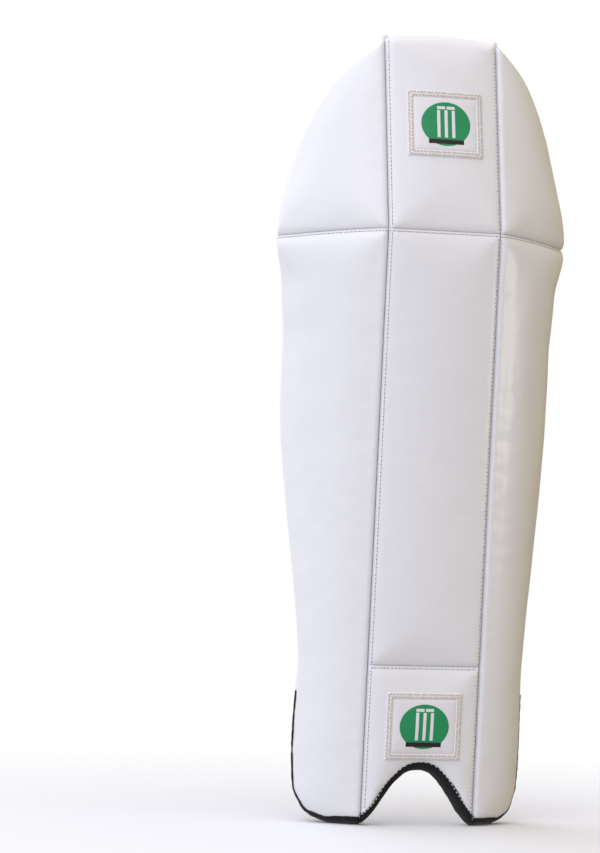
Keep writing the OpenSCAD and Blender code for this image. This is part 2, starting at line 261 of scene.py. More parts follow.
class Panel:
    """One stitched panel: its outline as four sides, and the depth of its face at any place."""

    def __init__(self, sides, edges, sign, base, puff, reach, seed, ripple=0.3):
        self.sides, self.edges, self.spec, self.folds = sides, edges, (sign, base, puff, reach, seed, ripple), None

    def depth(self, points):
        points = np.asarray(points, float)
        d = relief(points, self.edges, *self.spec)
        return d if self.folds is None else d + self.spec[0] * self.fold_at(points)

    def fold_at(self, points):
        """What the cloth simulation moved the face by, outwards, at any place."""
        flat, shares = points.reshape(-1, 2), []
        where, moved = self.folds
        for k in range(0, len(flat), 1500):
            apart = ((flat[k:k + 1500, None] - where) ** 2).sum(-1)
            w = np.exp(-(apart - apart.min(1, keepdims=True)) / 18)
            shares.append((w @ moved) / w.sum(1))
        return np.concatenate(shares).reshape(points.shape[:-1])

    def settle(self, slack, seam_slack, pressure, most, seed):
        """Runs the face as a cloth sewn down along its edges and pushed out by its padding."""
        uz = coons(*self.sides, step=4.2, near=(0, 1.6, 3.6, 6.4))
        sign, d = self.spec[0], self.depth(uz)
        near = np.min([distance(uz, edge) for edge, _ in self.edges], 0)
        start = place(uz[..., 0], uz[..., 1], d)
        out = place(uz[..., 0], uz[..., 1], d + sign) - start
        out /= np.linalg.norm(out, axis=-1, keepdims=True)
        jog = 0.12 * np.random.default_rng(seed).normal(size=near.shape) * step(near, 2, 7)
        obj = mesh("settling", (start + out * jog[..., None]) * 4, quads(*near.shape, flip=sign > 0), [])
        for name, weight in (("sewn", 1 - step(near, 1.8, 6.5)), ("gathered", np.exp(-np.maximum(near - 5, 0) / 9))):
            group = obj.vertex_groups.new(name=name)
            for i, w in enumerate(weight.ravel()):
                group.add([i], float(w), "REPLACE")
        cloth = obj.modifiers.new("cloth", "CLOTH")
        c = cloth.settings
        c.quality, c.mass, c.air_damping = 5, 0.02, 2
        c.tension_stiffness = c.compression_stiffness = 12
        c.shear_stiffness, c.bending_stiffness = 6, 0.05
        c.vertex_group_mass, c.pin_stiffness = "sewn", 5
        c.vertex_group_shrink, c.shrink_min, c.shrink_max = "gathered", -slack, -seam_slack
        c.use_pressure, c.uniform_pressure_force = True, pressure
        c.effector_weights.gravity = 0
        cloth.collision_settings.use_collision = False
        cloth.point_cache.frame_start, cloth.point_cache.frame_end = 1, 20
        for frame_now in range(1, 21):
            bpy.context.scene.frame_set(frame_now)
        data = obj.evaluated_get(bpy.context.evaluated_depsgraph_get()).data
        p = np.empty(len(data.vertices) * 3)
        data.vertices.foreach_get("co", p)
        bpy.context.scene.frame_set(1)
        old = obj.data
        bpy.data.objects.remove(obj)
        bpy.data.meshes.remove(old)
        move = ((p.reshape(start.shape) * 250 - start) * out).sum(-1)
        self.folds = uz.reshape(-1, 2), np.clip(move, -0.7, most).ravel()

    def grid(self, step=2.6):
        p = coons(*self.sides, step=step)
        return p, self.depth(p)


def line(*points):
    return np.array(points, float)


def shifted(points, by=None):
    return np.asarray(points, float) + ((HALF if by is None else by), 0)


# Meshes


def mesh(name, points, faces, material, uv=None, face_materials=None, flat=False):
    """An object from points in mm in the row frame."""
    data = bpy.data.meshes.new(name)
    data.from_pydata((np.asarray(points, float).reshape(-1, 3) / 1000).tolist(), [], faces)
    for m in material if isinstance(material, (list, tuple)) else [material]:
        data.materials.append(m)
    if uv is not None:
        layer = data.uv_layers.new(name="UVMap")
        index = np.empty(len(data.loops), int)
        data.loops.foreach_get("vertex_index", index)
        layer.data.foreach_set("uv", (np.asarray(uv, float).reshape(-1, 2)[index] / 1000).ravel())
    if face_materials is not None:
        data.polygons.foreach_set("material_index", face_materials)
    data.polygons.foreach_set("use_smooth", [not flat] * len(data.polygons))
    data.validate()
    data.update()
    obj = bpy.data.objects.new(name, data)
    bpy.context.scene.collection.objects.link(obj)
    return obj


def quads(rows, cols, flip=False, close_cols=False, close_rows=False, start=0):
    i, j = np.meshgrid(np.arange(rows if close_rows else rows - 1), np.arange(cols if close_cols else cols - 1),
                       indexing="ij")
    a, b = i * cols + j, i * cols + (j + 1) % cols
    c, d = (i + 1) % rows * cols + (j + 1) % cols, (i + 1) % rows * cols + j
    f = np.stack([a, b, c, d], -1).reshape(-1, 4) + start
    return (f[:, ::-1] if flip else f).tolist()


def sheet_of(name, uz, depth, material, back):
    turn = uz[0, -1, 0] < uz[0, 0, 0]
    return mesh(name, place(uz[..., 0], uz[..., 1], depth), quads(*uz.shape[:2], flip=turn != back), material, uz)


def block_of(name, uz, near, far, material):
    rows, cols = uz.shape[:2]
    n = rows * cols
    turn = uz[0, -1, 0] < uz[0, 0, 0]
    faces = quads(rows, cols, flip=turn) + quads(rows, cols, flip=not turn, start=n)
    ring = ([(0, j) for j in range(cols)] + [(i, cols - 1) for i in range(1, rows)]
            + [(rows - 1, j) for j in range(cols - 2, -1, -1)] + [(i, 0) for i in range(rows - 2, 0, -1)])
    ring = [i * cols + j for i, j in ring]
    for a, b in zip(ring, ring[1:] + ring[:1]):
        faces.append([b, a, a + n, b + n] if not turn else [a, b, b + n, a + n])
    points = np.concatenate([place(uz[..., 0], uz[..., 1], near).reshape(-1, 3),
                             place(uz[..., 0], uz[..., 1], far).reshape(-1, 3)])
    return mesh(name, points, faces, material, np.concatenate([uz.reshape(-1, 2)] * 2))


def copies(name, centres, tangents, normals, half, radius, material, flatten=0.75):
    """Rounded stitches or dots of one shape at many places."""
    around, rings = 7, [(-1, 0.0), (-0.92, 0.5), (-0.6, 0.95), (0, 1.0), (0.6, 0.95), (0.92, 0.5), (1, 0.0)]
    shape = np.array([(x * half, r * radius * math.cos(2 * math.pi * k / around),
                       r * radius * flatten * math.sin(2 * math.pi * k / around))
                      for x, r in rings for k in range(around)])
    t = tangents / np.linalg.norm(tangents, axis=1, keepdims=True)
    n = normals - (normals * t).sum(1, keepdims=True) * t
    n /= np.linalg.norm(n, axis=1, keepdims=True)
    b = np.cross(n, t)
    points = centres[:, None] + shape[None, :, :1] * t[:, None] + shape[None, :, 1:2] * b[:, None] + shape[None, :, 2:] * n[:, None]
    faces = []
    for k in range(len(centres)):
        faces += quads(len(rings), around, close_cols=True, start=k * len(shape))
    return mesh(name, points.reshape(-1, 3), faces, material, points.reshape(-1, 3)[:, [0, 2]])


def stitch_line(name, path, panel, material, holes=None, pitch=3.0, half=1.1, radius=0.42, out=-1, lift=0.15, turn=0.0,
                jitter=0.12, seed=1):
    """A row of stitches along a path of places (u, z) on a panel's face, with a dark blob at the needle hole between
    each two, as painted shade of the hole.
    """
    r = np.random.default_rng(seed)
    total = length(path)
    n = max(2, int(total / pitch))
    made = []
    for kind, offset in (("stitches", 0.5), ("holes", 0.0)):
        if kind == "holes" and holes is None:
            continue
        t = (np.arange(n) + offset + r.uniform(-jitter, jitter, n)) / n
        t = np.clip(t, 0, 1)
        p, q = along(path, t), along(path, np.clip(t + 0.4 / total, 0, 1))
        q = np.where(np.linalg.norm(q - p, axis=1, keepdims=True) < 1e-6, p + (0, 0.4), q)
        dp, dq = panel.depth(p), panel.depth(q)
        a, b = place(*p.T, dp), place(*q.T, dq)
        tangent = b - a
        normal = place(*p.T, dp + out * 1.0) - place(*p.T, dp)
        if turn:
            side = np.cross(normal, tangent)
            tangent = tangent / np.linalg.norm(tangent, axis=1, keepdims=True) * math.cos(turn) \
                + side / np.linalg.norm(side, axis=1, keepdims=True) * math.sin(turn)
        normal = normal / np.linalg.norm(normal, axis=1, keepdims=True)
        if kind == "stitches":
            made.append(copies(name, a + normal * lift, tangent, normal, half, radius, material))
        else:
            # Painted shade: a dark blob in each needle hole.
            made.append(copies(name + "_holes", a + normal * (lift * 0.3), tangent, normal, radius * 1.3, radius * 0.95,
                               holes, flatten=0.35))
    return made


def decal(name, rows, surface, material, lift=0.16, out=1, cols=10):
    """A printed shape: rows of (left, right, height) laid on a surface(u, z) -> points in mm and outward normals."""
    rows = np.array(rows, float)
    t = np.linspace(0, 1, cols)
    u = rows[:, :1] * (1 - t) + rows[:, 1:2] * t
    z = np.repeat(rows[:, 2:3], cols, 1)
    p, n = surface(u, z)
    return mesh(name, p + n * lift, quads(len(rows), cols, flip=out > 0), material, np.stack([u, z], -1))


def strip(x0, x1, z0, z1, n=8):
    return [(x0, x1, z) for z in np.linspace(z0, z1, n)]


def ribbon(name, path, z0, z1, thick, material, wave=0.0, seed=3, taper=None):
    """A flat band standing on edge along a path of (x, y) points in mm, with rounded long edges."""
    path = np.asarray(path, float)
    total = length(path)
    n = max(3, int(total / 2.2))
    t = np.linspace(0, 1, n)
    c = along(path, t)
    d = along(path, np.clip(t + 0.5 / total, 0, 1)) - along(path, np.clip(t - 0.5 / total, 0, 1))
    d /= np.linalg.norm(d, axis=1, keepdims=True)
    normal = np.stack([d[:, 1], -d[:, 0]], -1)
    v = np.r_[np.linspace(0, 1, 15)]
    h, w = thick / 2, z1 - z0
    side = np.array([(0.12, -0.85), *[(max(1.0, q * w) if q < 0.5 else min(w - 1.0, q * w), -1) for q in v],
                     (w - 0.12, -0.85), (w, 0), (w - 0.12, 0.85),
                     *[(max(1.0, q * w) if q < 0.5 else min(w - 1.0, q * w), 1) for q in v[::-1]],
                     (0.12, 0.85), (0, 0)])
    z = z0 + side[:, 0]
    s = t[:, None] * total
    lift = wave * waves(np.stack(np.broadcast_arrays(s, z[None]), -1), 24, seed)
    sag = 0.35 * waves(np.stack(np.broadcast_arrays(s, s * 0), -1), 30, seed + 4)
    off = side[:, 1] * h + lift
    x = c[:, :1] + normal[:, :1] * off
    y = c[:, 1:] + normal[:, 1:] * off
    points = np.stack([x, y, np.broadcast_to(z, x.shape) + sag], -1)
    faces = quads(*points.shape[:2], close_cols=True)
    k = points.shape[1]
    faces += [list(range(k))[::-1], [(n - 1) * k + i for i in range(k)]]
    uv = np.stack(np.broadcast_arrays(s, z[None]), -1)
    return mesh(name, points, faces, material, uv)


def recalc(obj):
    import bmesh
    b = bmesh.new()
    b.from_mesh(obj.data)
    bmesh.ops.recalc_face_normals(b, faces=b.faces)
    b.to_mesh(obj.data)
    b.free()
    return obj


# Materials


def new_material(name, color, rough, **sockets):
    m = bpy.data.materials.new(name)
    m.use_nodes = True
    b = m.node_tree.nodes["Principled BSDF"]
    b.inputs["Base Color"].default_value = (*color, 1)
    b.inputs["Roughness"].default_value = rough
    for k, v in sockets.items():
        b.inputs[k.replace("_", " ")].default_value = v
    return m, b


def add(m, kind, values=None, **props):
    n = m.node_tree.nodes.new("ShaderNode" + kind)
    for k, v in props.items():
        setattr(n, k, v)
    for k, v in (values or {}).items():
        if isinstance(v, bpy.types.NodeSocket):
            m.node_tree.links.new(v, n.inputs[k])
        else:
            n.inputs[k].default_value = v
    return n


def join(m, a, b):
    m.node_tree.links.new(a, b)


def ramp(m, fac, stops):
    n = add(m, "ValToRGB", {"Fac": fac})
    for _ in range(len(stops) - 2):
        n.color_ramp.elements.new(0.5)
    for e, (pos, col) in zip(n.color_ramp.elements, stops):
        e.position = pos
        e.color = (*col, 1) if len(col) == 3 else col
    return n.outputs["Color"]


def place_uv(m, scale=(1, 1, 1), angle=0.0):
    uv = add(m, "UVMap", uv_map="UVMap")
    return add(m, "Mapping", {"Vector": uv.outputs["UV"], "Scale": scale, "Rotation": (0, 0, angle)}).outputs["Vector"]


def leather(name, color, rough=0.42, grain=1.1, grain_depth=0.05, soft=0.25, shade=0.04, specular=0.5, darker=None):
    """Coated cloth: grain of about that size in mm, soft dents, and a faint mottling."""
    m, b = new_material(name, color, rough)
    b.inputs["Specular IOR Level"].default_value = specular
    uv = place_uv(m)
    cells = add(m, "TexVoronoi", {"Vector": uv, "Scale": 1000 / grain, "Randomness": 0.9}, feature="SMOOTH_F1",
                voronoi_dimensions="2D")
    fine = add(m, "TexNoise", {"Vector": uv, "Scale": 420.0, "Detail": 4.0, "Roughness": 0.6}, noise_dimensions="2D")
    wide = add(m, "TexNoise", {"Vector": uv, "Scale": 22.0, "Detail": 3.0, "Roughness": 0.55}, noise_dimensions="2D")
    dark = tuple(c * (1 - shade) for c in color) if darker is None else darker
    tint = add(m, "Mix", {"Factor": wide.outputs["Fac"], "A": (*color, 1), "B": (*dark, 1)}, data_type="RGBA")
    for k, v in (("Factor", wide.outputs["Fac"]),):
        join(m, v, tint.inputs[0])
    tint.inputs[6].default_value = (*color, 1)
    tint.inputs[7].default_value = (*dark, 1)
    pits = ramp(m, cells.outputs["Distance"], [(0.0, (1, 1, 1)), (0.75, (0.93, 0.93, 0.93)), (1.0, (0.8, 0.8, 0.8))])
    mixed = add(m, "Mix", data_type="RGBA", blend_type="MULTIPLY")
    mixed.inputs[0].default_value = 1.0 if darker else 0.35
    join(m, tint.outputs[2], mixed.inputs[6])
    join(m, pits, mixed.inputs[7])
    join(m, mixed.outputs[2], b.inputs["Base Color"])
    rough_mix = add(m, "MapRange", {"Value": fine.outputs["Fac"], "To Min": rough - 0.06, "To Max": rough + 0.08})
    join(m, rough_mix.outputs["Result"], b.inputs["Roughness"])
    b1 = add(m, "Bump", {"Height": wide.outputs["Fac"], "Distance": soft / 1000, "Strength": 0.6})
    b2 = add(m, "Bump", {"Height": cells.outputs["Distance"], "Distance": grain_depth / 1000, "Strength": 0.7,
                         "Normal": b1.outputs["Normal"]}, invert=True)
    b3 = add(m, "Bump", {"Height": fine.outputs["Fac"], "Distance": grain_depth / 1000, "Strength": 0.5,
                         "Normal": b2.outputs["Normal"]})
    join(m, b3.outputs["Normal"], b.inputs["Normal"])
    return m


def weave(name, color, light, pitch=(0.9, 0.9), angle=0.0, depth=0.12, rough=0.75, specks=0.3, dots=False, sheen=0.15):
    """Woven cloth: two crossing sets of threads, or dots on a diagonal lattice. The thread crests or the dots take the
    lighter colour, which is a painted highlight. Light specks are painted glints over a fine fuzz bump.
    """
    m, b = new_material(name, color, rough)
    b.inputs["Sheen Weight"].default_value = sheen
    b.inputs["Sheen Roughness"].default_value = 0.4
    b.inputs["Specular IOR Level"].default_value = 0.3
    uv = place_uv(m, (1000 / pitch[0], 1000 / pitch[1], 1), angle)
    if dots:
        cell = add(m, "TexVoronoi", {"Vector": uv, "Scale": 1.0, "Randomness": 0.08}, voronoi_dimensions="2D")
        height = ramp(m, cell.outputs["Distance"], [(0.0, (1, 1, 1)), (0.16, (0.9, 0.9, 0.9)), (0.34, (0.12, 0.12, 0.12)),
                                                    (0.62, (0, 0, 0))])
        fac = height
    else:
        a = add(m, "TexWave", {"Vector": uv, "Scale": 0.159, "Distortion": 0.35, "Detail": 2.0}, bands_direction="X")
        c = add(m, "TexWave", {"Vector": uv, "Scale": 0.159, "Distortion": 0.35, "Detail": 2.0}, bands_direction="Y")
        fac = add(m, "Math", {0: a.outputs["Fac"], 1: c.outputs["Fac"]}, operation="MULTIPLY").outputs["Value"]
    plain = place_uv(m)
    fuzz_and_glints = add(m, "TexNoise", {"Vector": plain, "Scale": 640.0, "Detail": 2.0}, noise_dimensions="2D")
    painted_glints = ramp(m, fuzz_and_glints.outputs["Fac"], [(0.0, (0, 0, 0)), (0.70, (0, 0, 0)), (0.78, (1, 1, 1))])
    wide = add(m, "TexNoise", {"Vector": plain, "Scale": 35.0, "Detail": 4.0}, noise_dimensions="2D")
    # Painted highlight: the thread crests or the dots get the lighter colour.
    base = add(m, "Mix", data_type="RGBA")
    join(m, fac, base.inputs[0])
    base.inputs[6].default_value = (*color, 1)
    base.inputs[7].default_value = (*light, 1)
    # Painted glints: light specks added to the colour.
    speck = add(m, "Mix", data_type="RGBA", blend_type="ADD")
    speck.inputs[0].default_value = specks * 0.12
    join(m, base.outputs[2], speck.inputs[6])
    join(m, painted_glints, speck.inputs[7])
    worn = add(m, "Mix", data_type="RGBA", blend_type="MULTIPLY")
    worn.inputs[0].default_value = 0.6
    join(m, speck.outputs[2], worn.inputs[6])
    join(m, ramp(m, wide.outputs["Fac"], [(0.3, (0.55, 0.55, 0.55)), (0.7, (1, 1, 1))]), worn.inputs[7])
    join(m, worn.outputs[2], b.inputs["Base Color"])
    b1 = add(m, "Bump", {"Height": fac, "Distance": depth / 1000, "Strength": 0.9})
    b2 = add(m, "Bump", {"Height": fuzz_and_glints.outputs["Fac"], "Distance": 0.00005, "Strength": 0.6,
                         "Normal": b1.outputs["Normal"]})
    join(m, b2.outputs["Normal"], b.inputs["Normal"])
    return m


def thread(name, color, rough=0.6):
    m, b = new_material(name, color, rough)
    uv = place_uv(m, (1, 1, 1), 0.6)
    twist = add(m, "TexWave", {"Vector": uv, "Scale": 700.0, "Distortion": 0.6, "Detail": 1.0})
    tone = add(m, "Mix", data_type="RGBA")
    join(m, twist.outputs["Fac"], tone.inputs[0])
    tone.inputs[6].default_value = (*[c * 0.72 for c in color], 1)
    tone.inputs[7].default_value = (*color, 1)
    join(m, tone.outputs[2], b.inputs["Base Color"])
    bump = add(m, "Bump", {"Height": twist.outputs["Fac"], "Distance": 0.0001, "Strength": 0.6})
    join(m, bump.outputs["Normal"], b.inputs["Normal"])
    return m


WHITE = leather("white_leather", (0.82, 0.82, 0.845), 0.29, 0.8, 0.015, 0.05, 0.03)
LINING = leather("white_lining", (0.77, 0.77, 0.80), 0.45, 1.0, 0.05, 0.30, 0.05)
GREEN = leather("green_leather", (0.085, 0.30, 0.020), 0.34, 1.6, 0.20, 0.35, 0.28, darker=(0.050, 0.21, 0.012))
BLACK = weave("black_cloth", (0.006, 0.006, 0.007), (0.022, 0.022, 0.024), (1.1, 1.1), 0.0, 0.10, specks=0.35)
BLACK_PU = leather("black_bolster_cloth", (0.010, 0.010, 0.011), 0.5, 1.2, 0.08, 0.35, 0.2, specular=0.35,
                   darker=(0.006, 0.006, 0.007))
FOAM = leather("foam_wadding", (0.74, 0.73, 0.69), 0.85, 1.4, 0.25, 0.5, 0.1, specular=0.2)
TAPE = weave("binding_tape", (0.004, 0.004, 0.004), (0.014, 0.014, 0.015), (0.9, 1.4), 0.3, 0.10, specks=0.15,
             sheen=0.05)
ELASTIC = weave("elastic_weave", (0.005, 0.005, 0.006), (0.024, 0.024, 0.026), (1.1, 1.3), 0.0, 0.10, specks=0.1)
WEBBING = weave("webbing_weave", (0.003, 0.003, 0.004), (0.12, 0.115, 0.13), (2.8, 2.8), 0.785, 0.40, dots=True,
                specks=0.0)
HOOK = weave("hook_and_loop", (0.008, 0.008, 0.009), (0.05, 0.05, 0.055), (0.8, 0.8), 0.2, 0.35, rough=0.9, dots=True,
             specks=0.5, sheen=0.4)
BADGE = leather("badge_print", (0.80, 0.79, 0.81), 0.35, 1.2, 0.02, 0.15, 0.03)
INK_GREEN = leather("badge_green", (0.010, 0.28, 0.105), 0.35, 1.2, 0.02, 0.1, 0.05)
INK_BLACK = leather("badge_black", (0.012, 0.010, 0.013), 0.35, 1.2, 0.02, 0.1, 0.05)
INK_WHITE = leather("white_print", (0.80, 0.80, 0.81), 0.42, 1.4, 0.07, 0.2, 0.05)
THREAD = thread("white_thread", (0.80, 0.80, 0.80))
CREAM = thread("cream_thread", (0.70, 0.62, 0.51))
# Dark colour for the needle holes: painted shade in the holes.
HOLE_SHADE = thread("stitch_hole_shade", (0.10, 0.10, 0.10), 0.9)
TAG = leather("white_tag", (0.74, 0.74, 0.74), 0.6, 0.8, 0.08, 0.4, 0.08, specular=0.3)

made = {}


def keep(obj, body, slot, nodes=(), blend=None):
    """Hides a piece's CAD nodes and hangs it on its body; a blended piece is baked in place and hung on no body. The
    slot is not used.
    """
    if nodes:
        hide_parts(*nodes)
    if blend:
        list(blend)
        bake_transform(obj)
    else:
        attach(obj, body)
    made[obj.name] = obj
    return obj


def wing_blend(side):
    name = "right_wing" if side > 0 else "left_wing"
    return ("centre_panel", name, (side * HALF / 1000, 0, 0.3), (side * (HALF + BLEND) / 1000, 0, 0.3))


# Panels of the front and of the back. Wing panels are drawn for the right side and mirrored.
wing_seam_low = shifted(line((0, 0), (0, KNEE)))
wing_seam_high = shifted(line((0, KNEE), (0, TOP - 3)))
side_line = shifted(SHIN_SIDE)
lobe_line = shifted(LOBE)
knee_line = shifted(line((0, KNEE), (103, KNEE)))
knee_top, knee_side = shifted(KNEE_TOP), shifted(KNEE_SIDE)
left_low, right_low = line((-HALF, INSTEP), (-HALF, KNEE)), line((HALF, INSTEP), (HALF, KNEE))
centre_knee_line = line((-HALF, KNEE), (HALF, KNEE))
us = np.linspace(-HALF, HALF, 25)
crown = np.stack([us, TOP + 1.2 - 3 * (us / HALF) ** 2], -1)
instep_line = line((-HALF, INSTEP), (HALF, INSTEP))


def cut(line_, z0, z1):
    """The part of a rising line between two heights."""
    zs = np.linspace(z0, z1, 60)
    return np.stack([np.interp(zs, line_[:, 1], line_[:, 0]), zs], -1)


def across(z):
    return line((HALF, z), (HALF + float(edge_s(z)), z))


front = {
    "knee_cover": Panel((knee_line, knee_top, wing_seam_high, knee_side),
                        [(wing_seam_high, seam_roll), (knee_line, knee_roll),
                         (knee_side, outer_front), (knee_top, outer_front)], -1, 0, 1.5, 16, 11, 0.12),
    "shin_cover": Panel((lobe_line, knee_line, wing_seam_low, side_line),
                        [(wing_seam_low, seam_roll), (knee_line, knee_flange), (side_line, outer_front),
                         (lobe_line, bound_front)], -1, 0, 1.6, 18, 12, 0.12),
}
centre_front = {
    "knee_cover_centre": Panel((centre_knee_line, crown, line((-HALF, KNEE), (-HALF, TOP - 3)),
                                line((HALF, KNEE), (HALF, TOP - 3))),
                               [(line((-HALF, KNEE), (-HALF, TOP - 3)), seam_flange),
                                (line((HALF, KNEE), (HALF, TOP - 3)), seam_flange),
                                (centre_knee_line, knee_roll), (crown, outer_front)], -1, 0, 1.4, 18, 13, 0.1),
    "shin_cover_centre": Panel((instep_line, centre_knee_line, left_low, right_low),
                               [(left_low, seam_flange), (right_low, seam_flange), (centre_knee_line, knee_flange),
                                (instep_line, knee_roll)], -1, 0, 1.8, 20, 14, 0.1),
    "instep_cover": Panel((NOTCH, instep_line, line((-HALF, 0), (-HALF, INSTEP)), line((HALF, 0), (HALF, INSTEP))),
                          [(line((-HALF, 0), (-HALF, INSTEP)), seam_flange),
                           (line((HALF, 0), (HALF, INSTEP)), seam_flange), (instep_line, knee_flange),
                           (NOTCH, bound_front)], -1, 0, 1.6, 16, 15, 0.1),
}
ankle_line = across(ANKLE)
side_low, side_high = cut(side_line, 15, ANKLE), cut(side_line, ANKLE, KNEE)
seam_ankle, seam_shin = line((HALF, 0), (HALF, ANKLE)), line((HALF, ANKLE), (HALF, KNEE))
back = {
    "knee_lining": Panel(front["knee_cover"].sides,
                         [(wing_seam_high, back_roll), (knee_line, back_knee), (knee_side, outer_back),
                          (knee_top, outer_back)], 1, WING_T, 4.6, 15, 21, 0.3),
    "shin_lining": Panel((ankle_line, knee_line, seam_shin, side_high),
                         [(seam_shin, back_roll), (knee_line, back_knee), (side_high, outer_back),
                          (ankle_line, back_knee)], 1, WING_T, 1.6, 12, 22, 0.4),
    "ankle_lining": Panel((lobe_line, ankle_line, seam_ankle, side_low),
                          [(seam_ankle, back_roll), (side_low, outer_back), (lobe_line, bound_back),
                           (ankle_line, back_knee)], 1, WING_T, 2.4, 14, 23, 0.4),
}
centre_back = {
    "knee_lining_centre": Panel(centre_front["knee_cover_centre"].sides,
                                [(line((-HALF, KNEE), (-HALF, TOP - 3)), back_roll),
                                 (line((HALF, KNEE), (HALF, TOP - 3)), back_roll), (centre_knee_line, back_knee),
                                 (crown, outer_back)], 1, CENTRE_T, 3.8, 16, 24, 0.3),
    "shin_lining_centre": Panel((instep_line, centre_knee_line, left_low, right_low),
                                [(left_low, back_roll), (right_low, back_roll), (centre_knee_line, back_knee),
                                 (instep_line, back_knee)], 1, CENTRE_T, 0.6, 15, 25, 0.2),
    "instep_lining": Panel(centre_front["instep_cover"].sides,
                           [(line((-HALF, 0), (-HALF, INSTEP)), back_roll),
                            (line((HALF, 0), (HALF, INSTEP)), back_roll), (instep_line, back_knee),
                            (NOTCH, bound_back)], 1, CENTRE_T, 1.6, 15, 26, 0.3),
}

fronts, backs = {1: front, -1: copy.deepcopy(front)}, {1: back, -1: copy.deepcopy(back)}
for k, panel in enumerate([*centre_front.values(), *fronts[1].values(), *fronts[-1].values()]):
    panel.settle(0.002, 0.004, 5.0, 2.6, 200 + k)
for k, panel in enumerate([*centre_back.values(), *backs[1].values(), *backs[-1].values()]):
    panel.settle(0.010, 0.045, 4.0, 3.6, 220 + k)

for name, panel in centre_front.items():
    uz, d = panel.grid()
    keep(sheet_of("look_" + name, uz, d, WHITE, False), "centre_panel", "white_cover", [name])
for name, panel in centre_back.items():
    uz, d = panel.grid()
    tone, slot = {"knee": (GREEN, "green_lining"), "shin": (BLACK, "black_cloth"),
                  "inst": (LINING, "white_lining")}[name[:4]]
    keep(sheet_of("look_" + name, uz, d, tone, True), "centre_panel", slot, [name])

for name, cover, lining in (("knee_foam_centre", "knee_cover_centre", "knee_lining_centre"),
                            ("shin_foam_centre", "shin_cover_centre", "shin_lining_centre"),
                            ("instep_foam", "instep_cover", "instep_lining")):
    uz = coons(*centre_front[cover].sides, step=7)
    uz = uz[8:-8, 8:-8]
    keep(block_of("look_" + name, uz, centre_front[cover].depth(uz) + 1.6, centre_back[lining].depth(uz) - 1.6, FOAM),
         "centre_panel", "foam", [name])

for side, way in (("left", -1), ("right", 1)):
    wing, blend = side + "_wing", wing_blend(way)
    for name, panel in fronts[way].items():
        uz, d = panel.grid()
        keep(sheet_of(f"look_{side}_{name}", uz * (way, 1), d, WHITE, False), wing, "white_cover",
             [f"{side}_{name}"], blend)
    for name, panel in backs[way].items():
        uz, d = panel.grid()
        tone, slot = {"knee": (GREEN, "green_lining"), "shin": (BLACK, "black_cloth"),
                      "ankl": (LINING, "white_lining")}[name[:4]]
        keep(sheet_of(f"look_{side}_{name}", uz * (way, 1), d, tone, True), wing, slot, [f"{side}_{name}"], blend)
    for name, lining in (("knee", "knee_lining"), ("shin", "shin_lining")):
        uz = coons(*front[name + "_cover"].sides, step=8)[8:-8, 8:-8]
        behind = back[lining].depth(uz) if name == "knee" else np.full(uz.shape[:2], WING_T) - roll(
            distance(uz, side_line), 12, 5)
        keep(block_of(f"look_{side}_{name}_foam", uz * (way, 1), front[name + "_cover"].depth(uz) + 1.8, behind - 1.8,
                      FOAM), wing, "foam", [f"{side}_{name}_foam"], blend)
    uz = np.stack(np.meshgrid(np.linspace(HALF + 0.6, HALF + 57, 30), np.linspace(low("centre_bolster_cover", 2), ANKLE + 1,
                                                                              24)), -1)
    keep(sheet_of(f"{side}_bolster_backing", uz * (way, 1), backs[way]["ankle_lining"].depth(uz) + 0.5, BLACK, True), wing,
         "black_cloth", blend=blend)


# Bolsters: rolls that stand on the lining, gathered into the knee seam


